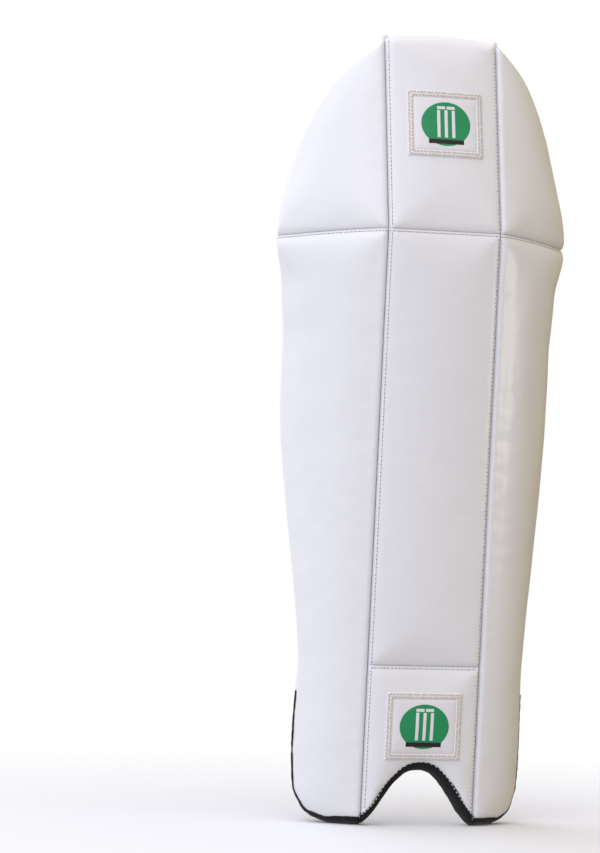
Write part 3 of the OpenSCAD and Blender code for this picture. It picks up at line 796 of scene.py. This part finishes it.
class Bolster:
    def __init__(self, middle, half, rise, base, seed, side=1):
        self.middle, self.half, self.rise, self.base, self.seed, self.side = middle, half, rise, base, seed, side
        self.z0, self.z1 = low("centre_bolster_cover", 2), KNEE - 1.5
        self.r = (half * half + rise * rise) / (2 * rise)
        self.turn = math.asin(min(1, half / self.r)) if rise < half else math.pi - math.asin(half / self.r)

    def at(self, a, z, off=0.0):
        """Point in mm for a share a of -1 to 1 across the roll and a height z."""
        top, foot = self.z1 - z, z - self.z0
        below = np.maximum(top, 0)
        drawn = np.exp(-(below / 5.5) ** 1.4)
        close = np.clip(1 - foot / 9, 0, 1)
        flat = (1 - 0.62 * drawn) * np.sqrt(1 - close ** 2 * 0.97)
        phi = a * self.turn
        r = self.r - off
        over = r * np.sin(phi)
        rise = (r * np.cos(phi) - (self.r - self.rise)) * flat
        p = np.stack(np.broadcast_arrays(a * self.half, z), -1)
        reach = 25 * (1 + 0.3 * waves(p * (1, 0), 11, self.seed + 3))
        ridge = np.abs(np.sin((a + 1) * math.pi / 2 * self.pleats + 0.45 * waves(p * (1, 0.3), 22, self.seed)))
        valley = (1 - ridge) ** (1.1 + 2.6 * np.clip(below / 40, 0, 1)) * np.exp(-(below / np.maximum(reach, 9)) ** 1.7)
        depth = np.cos(a * math.pi / 2) ** 0.35
        rise = rise + depth * (1.2 * np.exp(-((top - 22) / 30) ** 2) + 0.5 * waves(p, 26, self.seed + 9) - 6.0 * valley)
        rise = np.maximum(rise, -2.0)
        slope = 1 + 0.05 * np.exp(-((top - 26) / 22) ** 2)
        return place(self.side * (self.middle + over * slope), z, self.base + rise)

    def cover(self, name, material):
        a = np.linspace(-1, 1, 105)
        z = np.unique(np.r_[np.linspace(self.z0, self.z0 + 10, 9) , np.linspace(self.z0 + 10, self.z1 - 60, 84),
                            np.linspace(self.z1 - 60, self.z1 - 8, 30),
                            np.linspace(self.z1 - 8, self.z1, 14)])
        aa, zz = np.meshgrid(a, z)
        p = self.at(aa, zz)
        uv = np.stack([aa * self.r * self.turn + self.middle * 1.7, zz], -1)
        return recalc(mesh(name, p, quads(len(z), len(a), flip=self.side > 0), material, uv))

    def fill(self, name, material):
        a = np.linspace(-0.96, 0.96, 25)
        z = np.linspace(self.z0 + 3, self.z1 - 4, 60)
        aa, zz = np.meshgrid(a, z)
        p = self.at(aa, zz, 1.6)
        floor = place(self.side * (self.middle + aa * self.half * 0.93), zz, self.base + 0.6)
        points = np.concatenate([p.reshape(-1, 3), floor.reshape(-1, 3)])
        rows, cols = len(z), len(a)
        n = rows * cols
        faces = quads(rows, cols) + quads(rows, cols, flip=True, start=n)
        ring = ([j for j in range(cols)] + [i * cols + cols - 1 for i in range(1, rows)]
                + [(rows - 1) * cols + j for j in range(cols - 2, -1, -1)] + [i * cols for i in range(rows - 2, 0, -1)])
        faces += [[b_, a_, a_ + n, b_ + n] for a_, b_ in zip(ring, ring[1:] + ring[:1])]
        uv = np.stack([aa * self.half, zz], -1).reshape(-1, 2)
        return recalc(mesh(name, points, faces, material, np.concatenate([uv, uv])))


Bolster.pleats = 4
centre_w = high("centre_bolster_cover", 0)
middle_roll = Bolster(0, centre_w, 20, CENTRE_T - 0.6, 31)
middle_roll.pleats = 6
keep(middle_roll.cover("look_centre_bolster_cover", GREEN), "centre_panel", "green_lining", ["centre_bolster_cover"])
keep(middle_roll.fill("look_centre_bolster_fill", FOAM), "centre_panel", "foam", ["centre_bolster_fill"])
wing_rolls = {}
for side, way in (("left", -1), ("right", 1)):
    b = wing_rolls[way] = Bolster(HALF + 34.5, 23.5, 17, WING_T - 0.4, 33 + way, way)
    keep(b.cover(f"look_{side}_bolster_cover", BLACK_PU), side + "_wing", "black_cloth", [f"{side}_bolster_cover"])
    keep(b.fill(f"look_{side}_bolster_fill", FOAM), side + "_wing", "foam", [f"{side}_bolster_fill"])


# Generic prints: five lozenges down the centre bolster, and a wicket on the knee lining and the badges


def bolster_face(u, z):
    a = u / (middle_roll.r * middle_roll.turn)
    p, q = middle_roll.at(a, z), middle_roll.at(a, z, -1.0)
    n = q - p
    return p, n / np.linalg.norm(n, axis=-1, keepdims=True)


for k, z in enumerate(np.linspace(196, 322, 5)):
    t = np.linspace(-1, 1, 15)
    keep(recalc(decal(f"lozenge_{k}", [(-9.5 * (1 - abs(v)) - 0.4, 9.5 * (1 - abs(v)) + 0.4, z + 11.5 * v) for v in t],
                      bolster_face, INK_WHITE, 0.14)), "centre_panel", "green_lining")


def knee_face(u, z):
    p = np.stack([u, z], -1)
    d = centre_back["knee_lining_centre"].depth(p)
    a = place(u, z, d)
    return a, np.broadcast_to((0, 1, 0), a.shape)


def wicket(x, z, k):
    """Rows of shapes for a wicket of three stumps and two bails, k mm to the unit, and the ground under it."""
    shapes = [strip(x + s * k - 0.55 * k, x + s * k + 0.55 * k, z - 5 * k, z + 4.4 * k) for s in (-2.6, 0, 2.6)]
    shapes += [strip(x - 3.1 * k, x - 0.25 * k, z + 4.75 * k, z + 5.75 * k, 3),
               strip(x + 0.25 * k, x + 3.1 * k, z + 4.75 * k, z + 5.75 * k, 3)]
    return shapes, strip(x - 6.2 * k, x + 6.2 * k, z - 7.2 * k, z - 5.7 * k, 3)


marks, ground = wicket(-3, 534, 4.3)
for k, rows in enumerate(marks):
    keep(recalc(decal(f"knee_print_{k}", rows, knee_face, INK_WHITE, 0.2)), "centre_panel", "green_lining")
keep(recalc(decal("knee_print_ground", ground, knee_face, INK_BLACK, 0.2)), "centre_panel", "green_lining")

# Badges on the front
for badge, cover in (("upper_badge", "knee_cover_centre"), ("lower_badge", "instep_cover")):
    x0, x1, z0, z1 = low(badge, 0), high(badge, 0), low(badge, 2), high(badge, 2)
    cx, cz, hx, hz = (x0 + x1) / 2, (z0 + z1) / 2, (x1 - x0) / 2, (z1 - z0) / 2
    panel = centre_front[cover]

    def badge_depth(u, z, proud, panel=panel, cx=cx, cz=cz):
        near = np.minimum(hx - np.abs(u - cx), hz - np.abs(z - cz))
        frame_dent = 0.4 * np.exp(-((near - 5.2) / 0.45) ** 2)
        puff = 0.35 * (step(near, 5.4, 8) + (1 - step(near, 4.4, 5.1)) * step(near, 0.2, 1.2))
        return panel.depth(np.stack([u, z], -1)) - proud - puff * np.minimum(1, proud) + frame_dent

    edge = np.r_[0, 0.25, 0.6, 1.0, 1.8, 3.0, 4.0, 4.5, 4.85, 5.2, 5.55, 5.9, 6.7]
    xs = np.r_[x0 + edge, np.linspace(x0 + 8, x1 - 8, 22), (x1 - edge)[::-1]]
    zs = np.r_[z0 + edge, np.linspace(z0 + 8, z1 - 8, 20), (z1 - edge)[::-1]]
    uu, zz = np.meshgrid(xs, zs)
    near = np.minimum(hx - np.abs(uu - cx), hz - np.abs(zz - cz))
    proud = 0.75 * np.sqrt(np.clip(near / 0.6, 0, 1)) - 0.35 * (near <= 0)
    obj = mesh("look_" + badge, place(uu, zz, badge_depth(uu, zz, proud)), quads(len(zs), len(xs)), BADGE,
               np.stack([uu, zz], -1))
    keep(obj, "centre_panel", "badge", [badge])

    def badge_face(u, z, f=badge_depth):
        a = place(u, z, f(u, z, 0.75))
        return a, np.broadcast_to((0, -1, 0), a.shape)

    t = -np.cos(np.linspace(0, math.pi, 31))
    field = [(cx - 19.5 * math.sqrt(max(0, 1 - v * v)) - 0.01, cx + 19.5 * math.sqrt(max(0, 1 - v * v)) + 0.01,
              cz + 17 * v) for v in t]
    prints = [(field, INK_GREEN, 0.10)]
    marks, ground = wicket(cx, cz + 0.8, 2.25)
    prints += [(rows, INK_WHITE, 0.16) for rows in marks]
    prints += [(ground, INK_BLACK, 0.18)]
    for k, (rows, ink, lift) in enumerate(prints):
        keep(recalc(decal(f"{badge}_print_{k}", rows, badge_face, ink, lift, out=-1)), "centre_panel", "badge")

    class Flat:
        depth = staticmethod(lambda p, f=badge_depth: f(p[..., 0], p[..., 1], 0.75))

    for row, inset in enumerate((1.4, 3.7)):
        a, b, c, e = x0 + inset, x1 - inset, z0 + inset, z1 - inset
        loop = line((a, c), (b, c), (b, e), (a, e), (a, c))
        for obj in stitch_line(f"{badge}_stitch_{row}", loop, Flat, CREAM, None, 2.7, 1.3, 0.46,
                               turn=0.42 * (1 - 2 * row), lift=0.12, seed=5 + row):
            keep(obj, "centre_panel", "badge")


# Seam stitches
def sew(name, path, panel, body, slot, material=THREAD, holes=HOLE_SHADE, blend=None, **more):
    for obj in stitch_line(name, path, panel, material, holes, **more):
        keep(obj, body, slot, blend=blend)


for way in (-1, 1):
    tag = "left" if way < 0 else "right"
    u = way * (HALF - 2.3)
    sew(f"{tag}_knee_seam", line((u, KNEE + 3), (u, TOP - 5)), centre_front["knee_cover_centre"], "centre_panel",
        "white_cover", seed=61 + way)
    sew(f"{tag}_shin_seam", line((u, INSTEP + 2), (u, KNEE - 2)), centre_front["shin_cover_centre"], "centre_panel",
        "white_cover", seed=63 + way)
    sew(f"{tag}_instep_seam", line((u, 13), (u, INSTEP - 2)), centre_front["instep_cover"], "centre_panel",
        "white_cover", seed=65 + way)
sew("knee_cross_seam", line((-HALF + 1, KNEE - 2.2), (HALF - 1, KNEE - 2.2)), centre_front["shin_cover_centre"],
    "centre_panel", "white_cover", seed=67)
sew("instep_cross_seam", line((-HALF + 3, INSTEP - 2.2), (HALF - 3, INSTEP - 2.2)), centre_front["instep_cover"],
    "centre_panel", "white_cover", seed=68)


def whip(name, way, us_, above, below, roll_, seed):
    """Long slanting stitches over the knee seam, from the green lining down on to the bolster or the strip."""
    r = np.random.default_rng(seed)
    turns = np.linspace(0, 2 * math.pi, 7)[:-1]
    points, faces = [], []
    for u in us_ + r.uniform(-1.4, 1.4, len(us_)):
        top, foot = KNEE + r.uniform(2.2, 3.6), KNEE - r.uniform(4.5, 7.0)
        slant = r.uniform(2.6, 4.6)
        p = place(way * (u - slant), top, above.depth(np.array([u - slant, top])) + 0.2)
        a = (u + slant * 0.3 - roll_.middle) / roll_.half
        if abs(a) < 0.93:
            q = roll_.at(a, foot, -0.4)
        else:
            q = place(way * (u + slant * 0.3), foot, below.depth(np.array([u + slant * 0.3, foot])) + 0.4)
        bend = (p + q) / 2
        bend[1] = max(p[1], q[1]) + 1.2
        t = np.linspace(0, 1, 9)[:, None]
        arc = (1 - t) ** 2 * p + 2 * t * (1 - t) * bend + t * t * q
        d = np.gradient(arc, axis=0)
        d /= np.linalg.norm(d, axis=1, keepdims=True)
        n = np.cross(d, (1.0, 0, 0))
        n /= np.linalg.norm(n, axis=1, keepdims=True)
        b_ = np.cross(d, n)
        ring = arc[:, None] + 0.48 * (np.cos(turns)[:, None] * n[:, None] + np.sin(turns)[:, None] * b_[:, None])
        faces += quads(9, 6, close_cols=True, start=len(points) * 54)
        points.append(ring.reshape(-1, 3))
    points = np.concatenate(points)
    return recalc(mesh(name, points, faces, THREAD, points[:, [0, 2]]))


class Mirrored:
    def __init__(self, panel):
        self.panel = panel

    def depth(self, points):
        return self.panel.depth(np.abs(np.asarray(points)) * (1, 1))


def edge_inside(line_, inset):
    """A line moved inwards, towards the middle of the pad, by a distance."""
    line_ = np.asarray(line_, float)
    d = np.gradient(line_, axis=0)
    n = np.stack([d[:, 1], -d[:, 0]], -1)
    n /= np.maximum(np.linalg.norm(n, axis=1, keepdims=True), 1e-9)
    middle = np.array([HALF + 20, 300.0])
    n *= np.where(((middle - line_) * n).sum(1, keepdims=True) > 0, 1, -1)
    return line_ + n * inset


for side, way in (("left", -1), ("right", 1)):
    wing, blend = side + "_wing", wing_blend(way)
    p = line((HALF + 1.5, KNEE - 2.2), (HALF + 101, KNEE - 2.2)) * (way, 1)
    sew(f"{side}_knee_cross_seam", p, Mirrored(fronts[way]["shin_cover"]), wing, "white_cover", blend=blend, seed=70 + way)
    for part, border in (("knee_lining", knee_side), ("knee_lining", knee_top), ("shin_lining", side_high)):
        path = edge_inside(border, 2.2)[2:-2] * (way, 1)
        sew(f"{side}_{part}_edge_{len(made)}", path, Mirrored(backs[way][part]), wing,
            "green_lining" if part == "knee_lining" else "black_cloth", holes=None, blend=blend, out=1, pitch=4.2,
            half=1.2, radius=0.38, seed=72 + way)
    sew(f"{side}_strip_seam", line((HALF + 59, ANKLE + 3), (HALF + 62, 320), (HALF + 63, KNEE - 5)) * (way, 1),
        Mirrored(backs[way]["shin_lining"]), wing, "black_cloth", holes=None, out=1, pitch=4.2, half=0.5, radius=0.36,
        seed=74 + way)
    sew(f"{side}_ankle_seam", line((HALF + 58, ANKLE - 2), (HALF + 70, ANKLE - 2)) * (way, 1),
        Mirrored(backs[way]["ankle_lining"]), wing, "white_lining", out=1, pitch=3.2, seed=76 + way)
    keep(whip(f"{side}_whip", way, np.arange(HALF + 6, HALF + 99, 10.5), backs[way]["knee_lining"],
              backs[way]["shin_lining"], wing_rolls[way], 78 + way), wing, "green_lining", blend=blend)
    u = way * (HALF - 2.4)
    sew(f"{side}_back_seam", line((u, KNEE + 6), (u, TOP - 6)), centre_back["knee_lining_centre"], "centre_panel",
        "green_lining", holes=None, out=1, pitch=4.4, half=1.3, radius=0.38, seed=80 + way)
sew("crown_edge", edge_inside(crown, 2.2)[1:-1] * (1, 1), centre_back["knee_lining_centre"], "centre_panel",
    "green_lining", holes=None, out=1, pitch=4.2, half=1.2, radius=0.38, seed=83)
keep(whip("centre_whip", 1, np.arange(-HALF + 5, HALF - 4, 10.5), centre_back["knee_lining_centre"],
          centre_back["shin_lining_centre"], middle_roll, 84), "centre_panel", "green_lining")


# Binding tape round the lower edges
def binding(name, path, front_depth, back_depth, front_w, back_w, seed, body, nodes, blend=None, way=1):
    """Tape folded over an edge. path runs along the edge, with the pad on its left."""
    n = max(8, int(length(path) / 1.7))
    t = np.linspace(0, 1, n)
    c = along(path, t)
    d = along(path, np.clip(t + 0.002, 0, 1)) - along(path, np.clip(t - 0.002, 0, 1))
    d /= np.linalg.norm(d, axis=1, keepdims=True)
    inward = np.stack([-d[:, 1], d[:, 0]], -1)
    s = (t * length(path))[:, None]
    p1 = np.concatenate([s, s * 0], 1)
    fw = (front_w(c) + 0.35 * waves(p1, 12, seed) + 0.12 * waves(p1, 3, seed + 1))[:, None]
    bw = (back_w(c) + 1.0 * waves(p1, 17, seed + 2) + 0.25 * waves(p1, 4, seed + 3))[:, None]
    bump = 0.22 * waves(p1, 4, seed + 4)[:, None]
    front_shares = [(1.0, -0.05), (0.985, -0.62), (0.8, -0.8), (0.6, -0.8), (0.42, -0.8), (0.27, -0.8), (0.14, -0.8),
                    (0.05, -0.8)]
    back_shares = [(0.04, 0.85), (0.12, 0.85), (0.2, 0.8), (0.3, 0.8), (0.42, 0.8), (0.58, 0.75), (0.78, 0.75),
                   (0.985, 0.6), (1.0, 0.0)]
    rows = []
    for k, lift in front_shares:
        q = c + inward * fw * k
        rows.append(place(q[:, 0] * way, q[:, 1], front_depth(q) + lift - bump[:, 0] * (lift < -0.1)))
    df, db = front_depth(c)[:, None], back_depth(c)[:, None]
    for out, share, extra in ((-0.15, 0.0, -0.75), (-0.85, 0.12, -0.2), (-1.15, 0.35, 0), (-1.2, 0.6, 0), (-0.95, 0.88, 0.2),
                              (-0.2, 1.0, 0.75)):
        q = c + inward * (out + bump * 0.6)
        rows.append(place(q[:, 0] * way, q[:, 1], (df + (db - df) * share + extra)[:, 0]))
    for k, lift in back_shares:
        q = c + inward * bw * k
        rows.append(place(q[:, 0] * way, q[:, 1], back_depth(q) + lift + bump[:, 0] * (lift > 0.1)))
    points = np.stack(rows, 1)
    across_ = np.r_[[-7 * k for k, _ in front_shares], 0:6, [5 + 9 * k for k, _ in back_shares]]
    uv = np.stack(np.broadcast_arrays(s, across_[None]), -1)
    obj = recalc(mesh(name, points, quads(*points.shape[:2], flip=way < 0), TAPE, uv))
    keep(obj, body, "binding", nodes, blend)
    m = int(length(path) / 3.4)
    t = (np.arange(m) + 0.5) / m
    c = along(path, t)
    d = along(path, np.clip(t + 0.002, 0, 1)) - along(path, np.clip(t - 0.002, 0, 1))
    d /= np.linalg.norm(d, axis=1, keepdims=True)
    inward = np.stack([-d[:, 1], d[:, 0]], -1)
    sewn = [("_stitches", (back_w(c) * 0.62)[:, None], back_depth, 1, 0.55)]
    if body == "centre_panel":
        tug = 0.5 * waves(np.stack([t * length(path), t * 0], -1), 9, seed + 5)
        sewn.append(("_front_stitches", (front_w(c) * 0.97 + tug)[:, None], front_depth, -1, 0.9))
    for label, across_w, depth, out, half in sewn:
        q, r = (c + d * shift + inward * across_w for shift in (0, 0.4))
        a, b, e = (place(p[:, 0] * way, p[:, 1], depth(p) + out * lift)
                   for p, lift in ((q, 0.95), (r, 0.95), (q, 1.95)))
        keep(copies(name + label, a, b - a, e - a, half, 0.36, THREAD), body, "binding", blend=blend)


def wing_front_w(c):
    return 4.3 + 0.7 * (1 - step(c[:, 0] - HALF, 8, 40))


def wing_back_w(c):
    return 7.5 + 4.5 * step(c[:, 1], 4, 34)


lobe_path = np.concatenate([lobe_line, side_line[side_line[:, 1] > 16]])
lobe_path = lobe_path[lobe_path[:, 1] <= BIND_TOP]
for side, way in (("left", -1), ("right", 1)):
    binding(f"look_{side}_binding", lobe_path, fronts[way]["shin_cover"].depth, backs[way]["ankle_lining"].depth, wing_front_w,
            wing_back_w, 91 + way, side + "_wing", [f"{side}_binding"], wing_blend(way), way)
binding("look_instep_binding", NOTCH[::1], centre_front["instep_cover"].depth, centre_back["instep_lining"].depth,
        lambda c: 5.4 + 0 * c[:, 0], lambda c: 8.0 + 0 * c[:, 0], 95, "centre_panel", ["instep_binding"])

# Hem under the centre bolster
hem_z, hem_w = low("centre_bolster_hem", 2), high("centre_bolster_hem", 0)
uu, tt = np.meshgrid(np.linspace(-1, 1, 41), np.linspace(0, 1, 9))
hz = hem_z + 9 * tt + 1.6 * waves(np.stack([uu * 30, uu * 0], -1), 20, 97) * (1 - tt)
hem_base = centre_back["instep_lining"].depth(np.stack([uu * (hem_w + 3), hz], -1)) + 0.9
hp = place(uu * (hem_w + 3), hz, hem_base + 3.0 * np.sin(math.pi * np.clip(tt + 0.1, 0, 1)) + 0.4 * np.cos(uu * 9))
keep(recalc(mesh("look_centre_bolster_hem", hp, quads(9, 41), BLACK_PU, np.stack([uu * hem_w, hz], -1))),
     "centre_panel", "binding", ["centre_bolster_hem"])

# Tags at the ends of the knee seam, and the folded ends of the seams at the crown
def lump(name, c, h, material, seed):
    th, ph = np.meshgrid(np.linspace(0, math.pi, 13), np.linspace(0, 2 * math.pi, 25)[:-1], indexing="ij")

    def soft(v):
        return np.sign(v) * np.abs(v) ** 0.6

    p = np.stack([c[0] + h[0] * soft(np.sin(th)) * soft(np.cos(ph)), c[1] + h[1] * soft(np.sin(th)) * soft(np.sin(ph)),
                  c[2] + h[2] * soft(np.cos(th))], -1)
    p = p + 0.25 * waves(p[..., 1:], 5, seed)[..., None]
    return recalc(mesh(name, p, quads(13, 24, close_cols=True), material, np.stack([ph * 5, p[..., 2]], -1)))


for side, way in (("left", -1), ("right", 1)):
    node = f"{side}_knee_tag"
    lo, hi = np.array(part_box(node)[0]) * 1000, np.array(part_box(node)[1]) * 1000
    c, h = place(way * (HALF + 100.5), (lo[2] + hi[2]) / 2, 15.0), (hi - lo) / 2 * (1.5, 0.9, 0.8)
    keep(lump("look_" + node, c, h, TAG, 98), side + "_wing", "white_tag", [node])
    keep(lump(f"{side}_crown_nub", place(way * (HALF - 0.6), TOP - 4.2, 8.5), (2.1, 3.6, 3.2), WHITE, 99),
         "centre_panel", "white_cover")

# Straps
for strap in ("upper", "lower"):
    e0, e1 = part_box(strap + "_elastic_root"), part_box(strap + "_elastic")
    w0, w1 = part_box(strap + "_webbing_root"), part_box(strap + "_webbing")
    pivot = {j["child"]: j["pos_m"][0] * 1000 for j in frame["joints"]}
    for kind, way, root, half, tone, thick, wing in (
            ("elastic", 1, e0, e1, ELASTIC, 1.6, "right_wing"), ("webbing", -1, w0, w1, WEBBING, 2.0, "left_wing")):
        z0, z1 = root[0][2] * 1000, root[1][2] * 1000
        z = (z0 + z1) / 2
        y = (half[0][1] + half[1][1]) * 500
        s = float(edge_s(z))
        wall = [(abs(x), yy) for x, yy, _ in place(HALF + s + 0.5, z, np.array([12.0, 14.0, 16.0]))]
        edge = abs(pivot[f"{strap}_{kind}_root"]) + 8.5
        split = edge - 11
        bend = [(edge - 9.5, y - 0.9), (edge - 10.2, y - 0.3), (split, y)]
        path = smooth(wall + bend, 6) * (way, 1)
        a = abs(pivot[f"{strap}_{kind}_root"])
        anchor = recalc(ribbon(f"look_{strap}_{kind}_root", path, z0, z1, thick, tone, 0.1, 101))
        keep(anchor, None, kind, [f"{strap}_{kind}_root"],
             (wing, f"{strap}_{kind}_root", (way * (edge - 1) / 1000, 0, z / 1000), (way * (edge - 9) / 1000, 0, z / 1000)))
        end = half[0][0] * 1000 if way > 0 else half[1][0] * 1000
        path = line((way * split, y), (way * (split - 12), y), ((way * split + end) / 2, y), (end, y))
        main = recalc(ribbon(f"look_{strap}_{kind}", path, z0, z1, thick, tone, 0.16, 103))
        h = abs(pivot[f"{strap}_{kind}"])
        keep(main, None, kind, [f"{strap}_{kind}"],
             (f"{strap}_{kind}_root", f"{strap}_{kind}", (way * (h + 5) / 1000, 0, z / 1000),
              (way * (h - 6) / 1000, 0, z / 1000)))
    for kind, patch in (("elastic", "loop_patch"), ("webbing", "hook_patch")):
        lo, hi = np.array(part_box(f"{strap}_{patch}")[0]) * 1000, np.array(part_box(f"{strap}_{patch}")[1]) * 1000
        y = (lo[1] + hi[1]) / 2
        keep(recalc(ribbon(f"look_{strap}_{patch}", line((lo[0], y), (hi[0], y)), lo[2], hi[2], hi[1] - lo[1], HOOK, 0.0,
                           105)), f"{strap}_{kind}", "hook_and_loop", [f"{strap}_{patch}"])


# Floor, light and camera
floor_white, shader = new_material("floor", (0.75, 0.76, 0.775), 0.7)
far = add(floor_white, "VectorMath", {0: add(floor_white, "TexCoord").outputs["Object"]}, operation="LENGTH")
fade = add(floor_white, "MapRange", {"Value": far.outputs["Value"], "From Min": 0.22, "From Max": 0.75})
unseen = add(floor_white, "Math", {0: 1.0, 1: add(floor_white, "LightPath").outputs["Is Camera Ray"]},
             operation="SUBTRACT")
clear = add(floor_white, "Math", {0: fade.outputs["Result"], 1: unseen.outputs["Value"]}, operation="MAXIMUM")
edge = add(floor_white, "MixShader", {0: clear.outputs["Value"], 1: shader.outputs[0],
                                      2: add(floor_white, "BsdfTransparent").outputs[0]})
join(floor_white, edge.outputs[0], floor_white.node_tree.nodes["Material Output"].inputs["Surface"])
floor = mesh("floor", [(-800, -800, -1.3), (800, -800, -1.3), (800, 800, -1.3), (-800, 800, -1.3)],
             [[0, 1, 2, 3]], floor_white)

world = bpy.data.worlds.new("studio")
bpy.context.scene.world = world
world.use_nodes = True
sky = world.node_tree.nodes["Background"]
way = add(world, "SeparateXYZ", {0: add(world, "TexCoord").outputs["Generated"]})
sideways = add(world, "MapRange", {"Value": way.outputs["X"], "From Min": -1.0, "From Max": 1.0})
tone = ramp(world, sideways.outputs["Result"], [(0.0, (0.70, 0.70, 0.69)), (0.16, (0.90, 0.90, 0.90)), (0.38, (1.05, 1.08, 1.36)),
                                                (0.56, (0.47, 0.44, 0.38)), (0.78, (0.37, 0.31, 0.21)),
                                                (1.0, (0.35, 0.28, 0.13))])
height = add(world, "MapRange", {"Value": way.outputs["Z"], "From Min": -0.1, "From Max": 1.0, "To Min": 0.84,
                                 "To Max": 2.2})
join(world, tone, sky.inputs["Color"])
join(world, height.outputs["Result"], sky.inputs["Strength"])
seen = add(world, "Background", {"Color": (1, 1, 1, 1), "Strength": 1.0})
pick = add(world, "MixShader", {0: add(world, "LightPath").outputs["Is Camera Ray"]})
join(world, sky.outputs[0], pick.inputs[1])
join(world, seen.outputs[0], pick.inputs[2])
join(world, pick.outputs[0], world.node_tree.nodes["World Output"].inputs["Surface"])


def area(name, spot, aim, w, h, power, color=(1, 1, 1)):
    data = bpy.data.lights.new(name, "AREA")
    data.shape, data.size, data.size_y, data.energy, data.color = "RECTANGLE", w, h, power, color
    obj = bpy.data.objects.new(name, data)
    bpy.context.scene.collection.objects.link(obj)
    obj.location = spot
    obj.rotation_euler = (Vector(aim) - Vector(spot)).to_track_quat("-Z", "Y").to_euler()


area("key", (-1.2, -1.3, 1.6), (0, 0, 0.36), 0.7, 1.1, 3.0)
area("window", (1.45, -0.78, 0.31), (0, 0, 0.31), 0.13, 0.26, 2.3, (1.0, 0.96, 0.86))

pad = np.array([0, FRONT / 1000, high("knee_cover_centre", 2) / 2000])
yaw, pitch, tilt = math.radians(16.81), math.radians(-1.57), math.radians(1.79)
ahead = np.array([math.sin(yaw) * math.cos(pitch), math.cos(yaw) * math.cos(pitch), -math.sin(pitch)])
right = np.array([math.cos(yaw), -math.sin(yaw), 0])
up = np.array([math.sin(yaw) * math.sin(pitch), math.cos(yaw) * math.sin(pitch), math.cos(pitch)])
right, up = (math.cos(tilt) * right + math.sin(tilt) * up, -math.sin(tilt) * right + math.cos(tilt) * up)
eye = pad - 2.5 * ahead
a, b = math.radians(2.441), math.radians(0.0753)
ahead, right = math.cos(a) * ahead - math.sin(a) * right, math.cos(a) * right + math.sin(a) * ahead
ahead, up = math.cos(b) * ahead + math.sin(b) * up, math.cos(b) * up - math.sin(b) * ahead
data = bpy.data.cameras.new("camera")
data.sensor_width, data.lens = 36, 139.27
camera = bpy.data.objects.new("camera", data)
bpy.context.scene.collection.objects.link(camera)
camera.matrix_world = Matrix([(*[r_, u_, -f_], e_) for r_, u_, f_, e_ in zip(right, up, ahead, eye)] + [(0, 0, 0, 1)])
bpy.context.scene.camera = camera
bpy.context.scene.view_settings.view_transform = "Standard"
